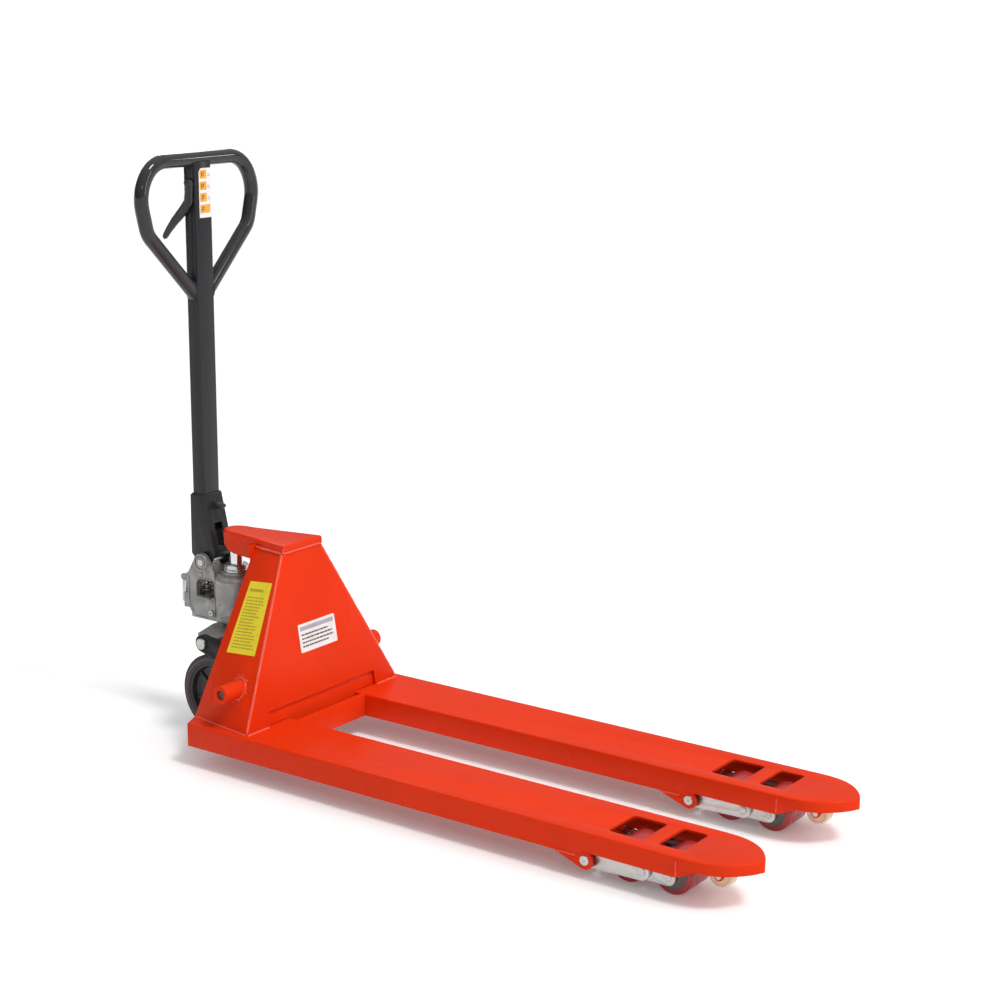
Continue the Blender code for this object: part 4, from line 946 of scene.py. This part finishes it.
def handle_skins():
    finish_piece(swept_shape(loop_points(), LOOP_TUBE, 40), "handle_loop_skin", "handle", "loop_paint",
                 "handle_loop", 60)
    column = copy_of("handle_column")
    for vertex in column.verts:
        if vertex.co.z > COLUMN_TOP - 0.017:
            vertex.co.z = COLUMN_TOP
    round_edges(column, 0.0005, 2)
    finish_piece(column, "handle_column_skin", "handle", "dark_paint", "handle_column", 50)
    dressed("handle_base", 0.0012, 3)
    # Near-black sheets on the inner faces of the handle base's hollow are painted shade, so the slot reads
    # black.
    inside = [(-0.735, 0.401), (-0.676, 0.401), (-0.701, 0.505), (-0.735, 0.505)]
    x, y = COLUMN_HALF
    for name, side in SIDES:
        finish_piece(pushed_shape(inside, "Y", side * 0.026, side * 0.0264), "base_painted_shade_" + name, "handle",
                     "painted_shade_black")
        arm_foot = ring_path((COLUMN_X, side * (y + 0.0004), 0.9792), 0.016, 40, 1.4)
        weld("arm_weld_" + name, arm_foot, 0.0021, "handle", "dark_paint", True)
    rear, front = COLUMN_X - x, COLUMN_X + x + 0.0006
    collar = [(*corner, 0.5256) for corner in ((rear, -y), (front, -y), (front, y), (rear, y), (rear, -y))]
    weld("base_top_weld", collar, 0.0024, "handle", "dark_paint", True)
    drops("tab_weld_spots", [(-0.6998, -0.0085, 0.51), (-0.7, 0.0085, 0.5085), (-0.6965, -0.0088, 0.495)],
          0.0024, "handle", "weld_grey")
    pin_skin("release_rod", 0.0025, 0.0006, axis="Z")


# Labels

FILM = 0.0003
PRINT = 0.0005


def bars(low, high, rows, fill, seed):
    """Uneven rows of short bars that fill a panel, as generic print."""
    draw = random.Random(seed)
    outlines = []
    pitch = (high[1] - low[1]) / rows
    for row in range(rows):
        bottom = high[1] - pitch * (row + 1) + pitch * (1 - fill) / 2
        a = low[0]
        end = high[0] - (high[0] - low[0]) * draw.uniform(0.0, 0.35)
        while a < end:
            width = min(draw.uniform(0.004, 0.013), end - a)
            outlines.append(patch((a, bottom), (a + width, bottom + pitch * fill)))
            a += width + 0.0016
    return outlines


def column_label():
    """A white strip on the column with four orange squares, the lowest one wider, and dark marks."""
    pitch = 0.0246
    sheet = [(0, 0), (0.0385, 0), (0.0385, 0.106), *arc((0.01, 0.096), 0.01, 90, 180, 6)]
    squares = []
    marks = []
    for row in range(4):
        squares.append(patch((0.0025, 0.01 + pitch * row), (0.0235 if row else 0.0335, 0.028 + pitch * row)))
        base = 0.0135 + pitch * row
        marks += [patch((0.0075, base), (0.0095, base + 0.01)),
                  patch((0.011, base + 0.003), (0.0165, base + 0.0046)),
                  patch((0.012, base + 0.0065), (0.015, base + 0.0105))]
        if row:
            marks += [patch((0.0265, base + 0.001), (0.034, base + 0.0018)),
                      patch((0.0265, base + 0.005), (0.032, base + 0.0058))]
    origin = (COLUMN_X + COLUMN_HALF.x + 0.0002, -0.014, 1.137)
    for name, outlines, lift, finish in (("column_label", [sheet], FILM, "white_film"),
                                         ("column_label_squares", squares, 1.5 * FILM, "orange_film"),
                                         ("column_label_marks", marks, 2 * FILM, "print_ink")):
        sheet_film(name, origin, (0, 1, 0), (0, 0, 1), outlines, lift, "handle", finish)


def side_label():
    """A yellow panel on the right side sheet, narrower at its top, with faded rows of print."""
    foot, front, top = (Vector((x, -side_y(x, z), z))
                        for x, z in ((-0.5188, 0.2307), (-0.43, 0.24), (-0.5115, 0.374)))
    along = (front - foot).normalized()
    lean = (top - foot).dot(along)
    up = top - foot - along * lean
    width, height = (front - foot).length, up.length
    top_width = 0.38 * (width - lean) + 0.03968

    def leaning(points):
        """Fit points on a plain panel to one whose sides lean in."""
        moved = []
        for a, b in points:
            share = b / height
            moved.append((lean * share + a / width * (width + (top_width - width) * share), b))
        return moved

    panel = [(0, 0), (width / 2, 0), (width, 0), (width, height / 2), (width, height), (width / 2, height),
             (0, height), (0, height / 2)]
    rows = [leaning(outline) for outline in bars((0.009, 0.01), (width - 0.008, height * 0.8), 17, 0.42, 3)]
    rows += [leaning(patch((0.01, height * 0.86), (width * 0.7, height * 0.9)))]
    origin = foot + along.cross(up).normalized() * FILM
    sheet_film("side_label", origin, along, up, [leaning(panel)], FILM, "chassis", "yellow_film")
    sheet_film("side_label_rows", origin, along, up, rows, PRINT, "chassis", "faded_ink")


def front_label():
    """A white plate on the front sheet, with a grey-blue band over four rows of print."""
    foot, head = (Vector((face_x(z), -0.05, z)) for z in (0.221, 0.282))
    along, up = Vector((0, 1, 0)), (head - foot).normalized()
    height = (head - foot).length
    origin = foot + along.cross(up) * 0.0002
    band = patch((0.006, height - 0.015), (0.116, height - 0.006), 0.001)
    words = bars((0.008, 0.008), (0.112, height - 0.02), 4, 0.4, 11)
    plate = patch((0, 0), (0.122, height), 0.003)
    for name, outlines, lift, finish in (("front_label", [plate], FILM, "white_film"),
                                         ("front_label_band", [band], PRINT, "blue_film"),
                                         ("front_label_rows", words, PRINT, "print_ink")):
        sheet_film(name, origin, along, up, outlines, lift, "chassis", finish)


for side_name, side_sign in SIDES:
    fork_skin(side_name, side_sign)
    ear_and_fork_welds(side_name, side_sign)
    for edge_name in ("outer", "inner"):
        dressed(f"hinge_ear_{side_name}_{edge_name}", 0.0012, 3)
dressed("cross_beam", 0.001)
dressed("tower_kick_plate", 0.001)
tower_skins()
cap_skin()
ram_skins()
steer_wheel_skins()
load_wheel_skins()
rocker_skins()
pump_skins()
cheek_details()
plunger_skins()
handle_skins()
trigger_skin()
column_label()
side_label()
front_label()


# Floor, light and camera

WHITE = (1.0, 1.0, 1.0, 1.0)
SKY_LOW = 0.12
SKY_LEAST = 0.06
SKY_SHARES = (0.2, 0.13, 0.74)


def stage_round(name, profile, material):
    """A wide round of stage, turned about the truck's middle."""
    made = bpy.data.objects.new(name, bpy.data.meshes.new(name))
    shape = turned_shape(profile, (0, 0, 0), "Z", 96)
    shape.to_mesh(made.data)
    shape.free()
    made.data.shade_smooth()
    made.data.materials.append(material)
    bpy.context.scene.collection.objects.link(made)
    return made


def studio():
    """A pale floor that rises far away, before a white backdrop that only the camera sees."""
    pale = moulded("pale_floor", grey(0.92), grey(0.9), 0.75, Emission_Color=WHITE, Emission_Strength=0.14)
    stage_round("floor", [(0, 0), (8.0, 0), (60.0, 0), (140.0, 1.2), (320.0, 9.0), (700.0, 34.0)], pale)
    white = Shader("white_backdrop", Emission_Color=WHITE, Emission_Strength=1.0).finish(grey(0.9))
    backdrop = stage_round("backdrop", [(60.0, 0.0), (64.0, 1.0), (76.0, 20.0), (80.0, 60.0)], white)
    backdrop.visible_diffuse = backdrop.visible_glossy = backdrop.visible_shadow = False


def sky():
    """White light from all round, strongest from above and stronger towards +X and +Y."""
    world = bpy.data.worlds.new("studio")
    bpy.context.scene.world = world
    world.use_nodes = True
    tree = world.node_tree
    shares = tree.nodes.new("ShaderNodeVectorMath")
    shares.operation = "DOT_PRODUCT"
    shares.inputs[1].default_value = SKY_SHARES
    tree.links.new(tree.nodes.new("ShaderNodeTexCoord").outputs["Generated"], shares.inputs[0])
    level = shares.outputs["Value"]
    for operation, amount in (("ADD", SKY_LOW), ("MAXIMUM", SKY_LEAST)):
        step = tree.nodes.new("ShaderNodeMath")
        step.operation = operation
        step.inputs[1].default_value = amount
        tree.links.new(level, step.inputs[0])
        level = step.outputs[0]
    background = tree.nodes["Background"]
    background.inputs["Color"].default_value = WHITE
    tree.links.new(level, background.inputs["Strength"])


def add_light(name, kind, power, place, aim):
    """A light that shines from a place towards another."""
    data = bpy.data.lights.new(name, kind)
    data.energy = power
    made = bpy.data.objects.new(name, data)
    made.location = place
    made.rotation_euler = (Vector(place) - Vector(aim)).to_track_quat("Z", "Y").to_euler()
    bpy.context.scene.collection.objects.link(made)
    return data


def lights():
    """A soft sun, a tall strip that lights the sides that face +X, and three smaller panels."""
    sun = add_light("sun", "SUN", 1.46, (0.6, -0.04, 1.0), (0, 0, 0))
    sun.angle = math.radians(14)
    for name, place, size, power in (("tall", (2.7, 0.45, 2.05), (0.2, 1.9), 17.0),
                                     ("front", (1.9, -3.2, 2.9), (0.35, 0.35), 5.0),
                                     ("edge", (2.4, 3.6, 2.4), (0.3, 0.3), 6.0),
                                     ("rim", (-2.6, 2.0, 2.4), (0.6, 0.6), 10.0)):
        panel = add_light(name, "AREA", power, place, (-0.3, 0, 0.4))
        panel.shape = "RECTANGLE"
        panel.size, panel.size_y = size


def camera():
    data = bpy.data.cameras.new("camera")
    data.lens = 75.44
    data.shift_x = 0.104
    data.shift_y = 0.019
    data.clip_end = 9000.0
    azimuth, elevation, roll = math.radians(37.97), math.radians(13.79), math.radians(-0.37)
    forward = Vector((-math.sin(azimuth) * math.cos(elevation), math.cos(azimuth) * math.cos(elevation),
                      -math.sin(elevation)))
    turn = forward.to_track_quat("-Z", "Y").to_matrix().to_4x4() @ Matrix.Rotation(roll, 4, "Z")
    made = bpy.data.objects.new("camera", data)
    made.matrix_world = Matrix.Translation((2.4217, -3.3348, 1.581)) @ turn
    bpy.context.scene.collection.objects.link(made)
    bpy.context.scene.camera = made
    bpy.context.scene.view_settings.view_transform = "Standard"


studio()
sky()
lights()
camera()
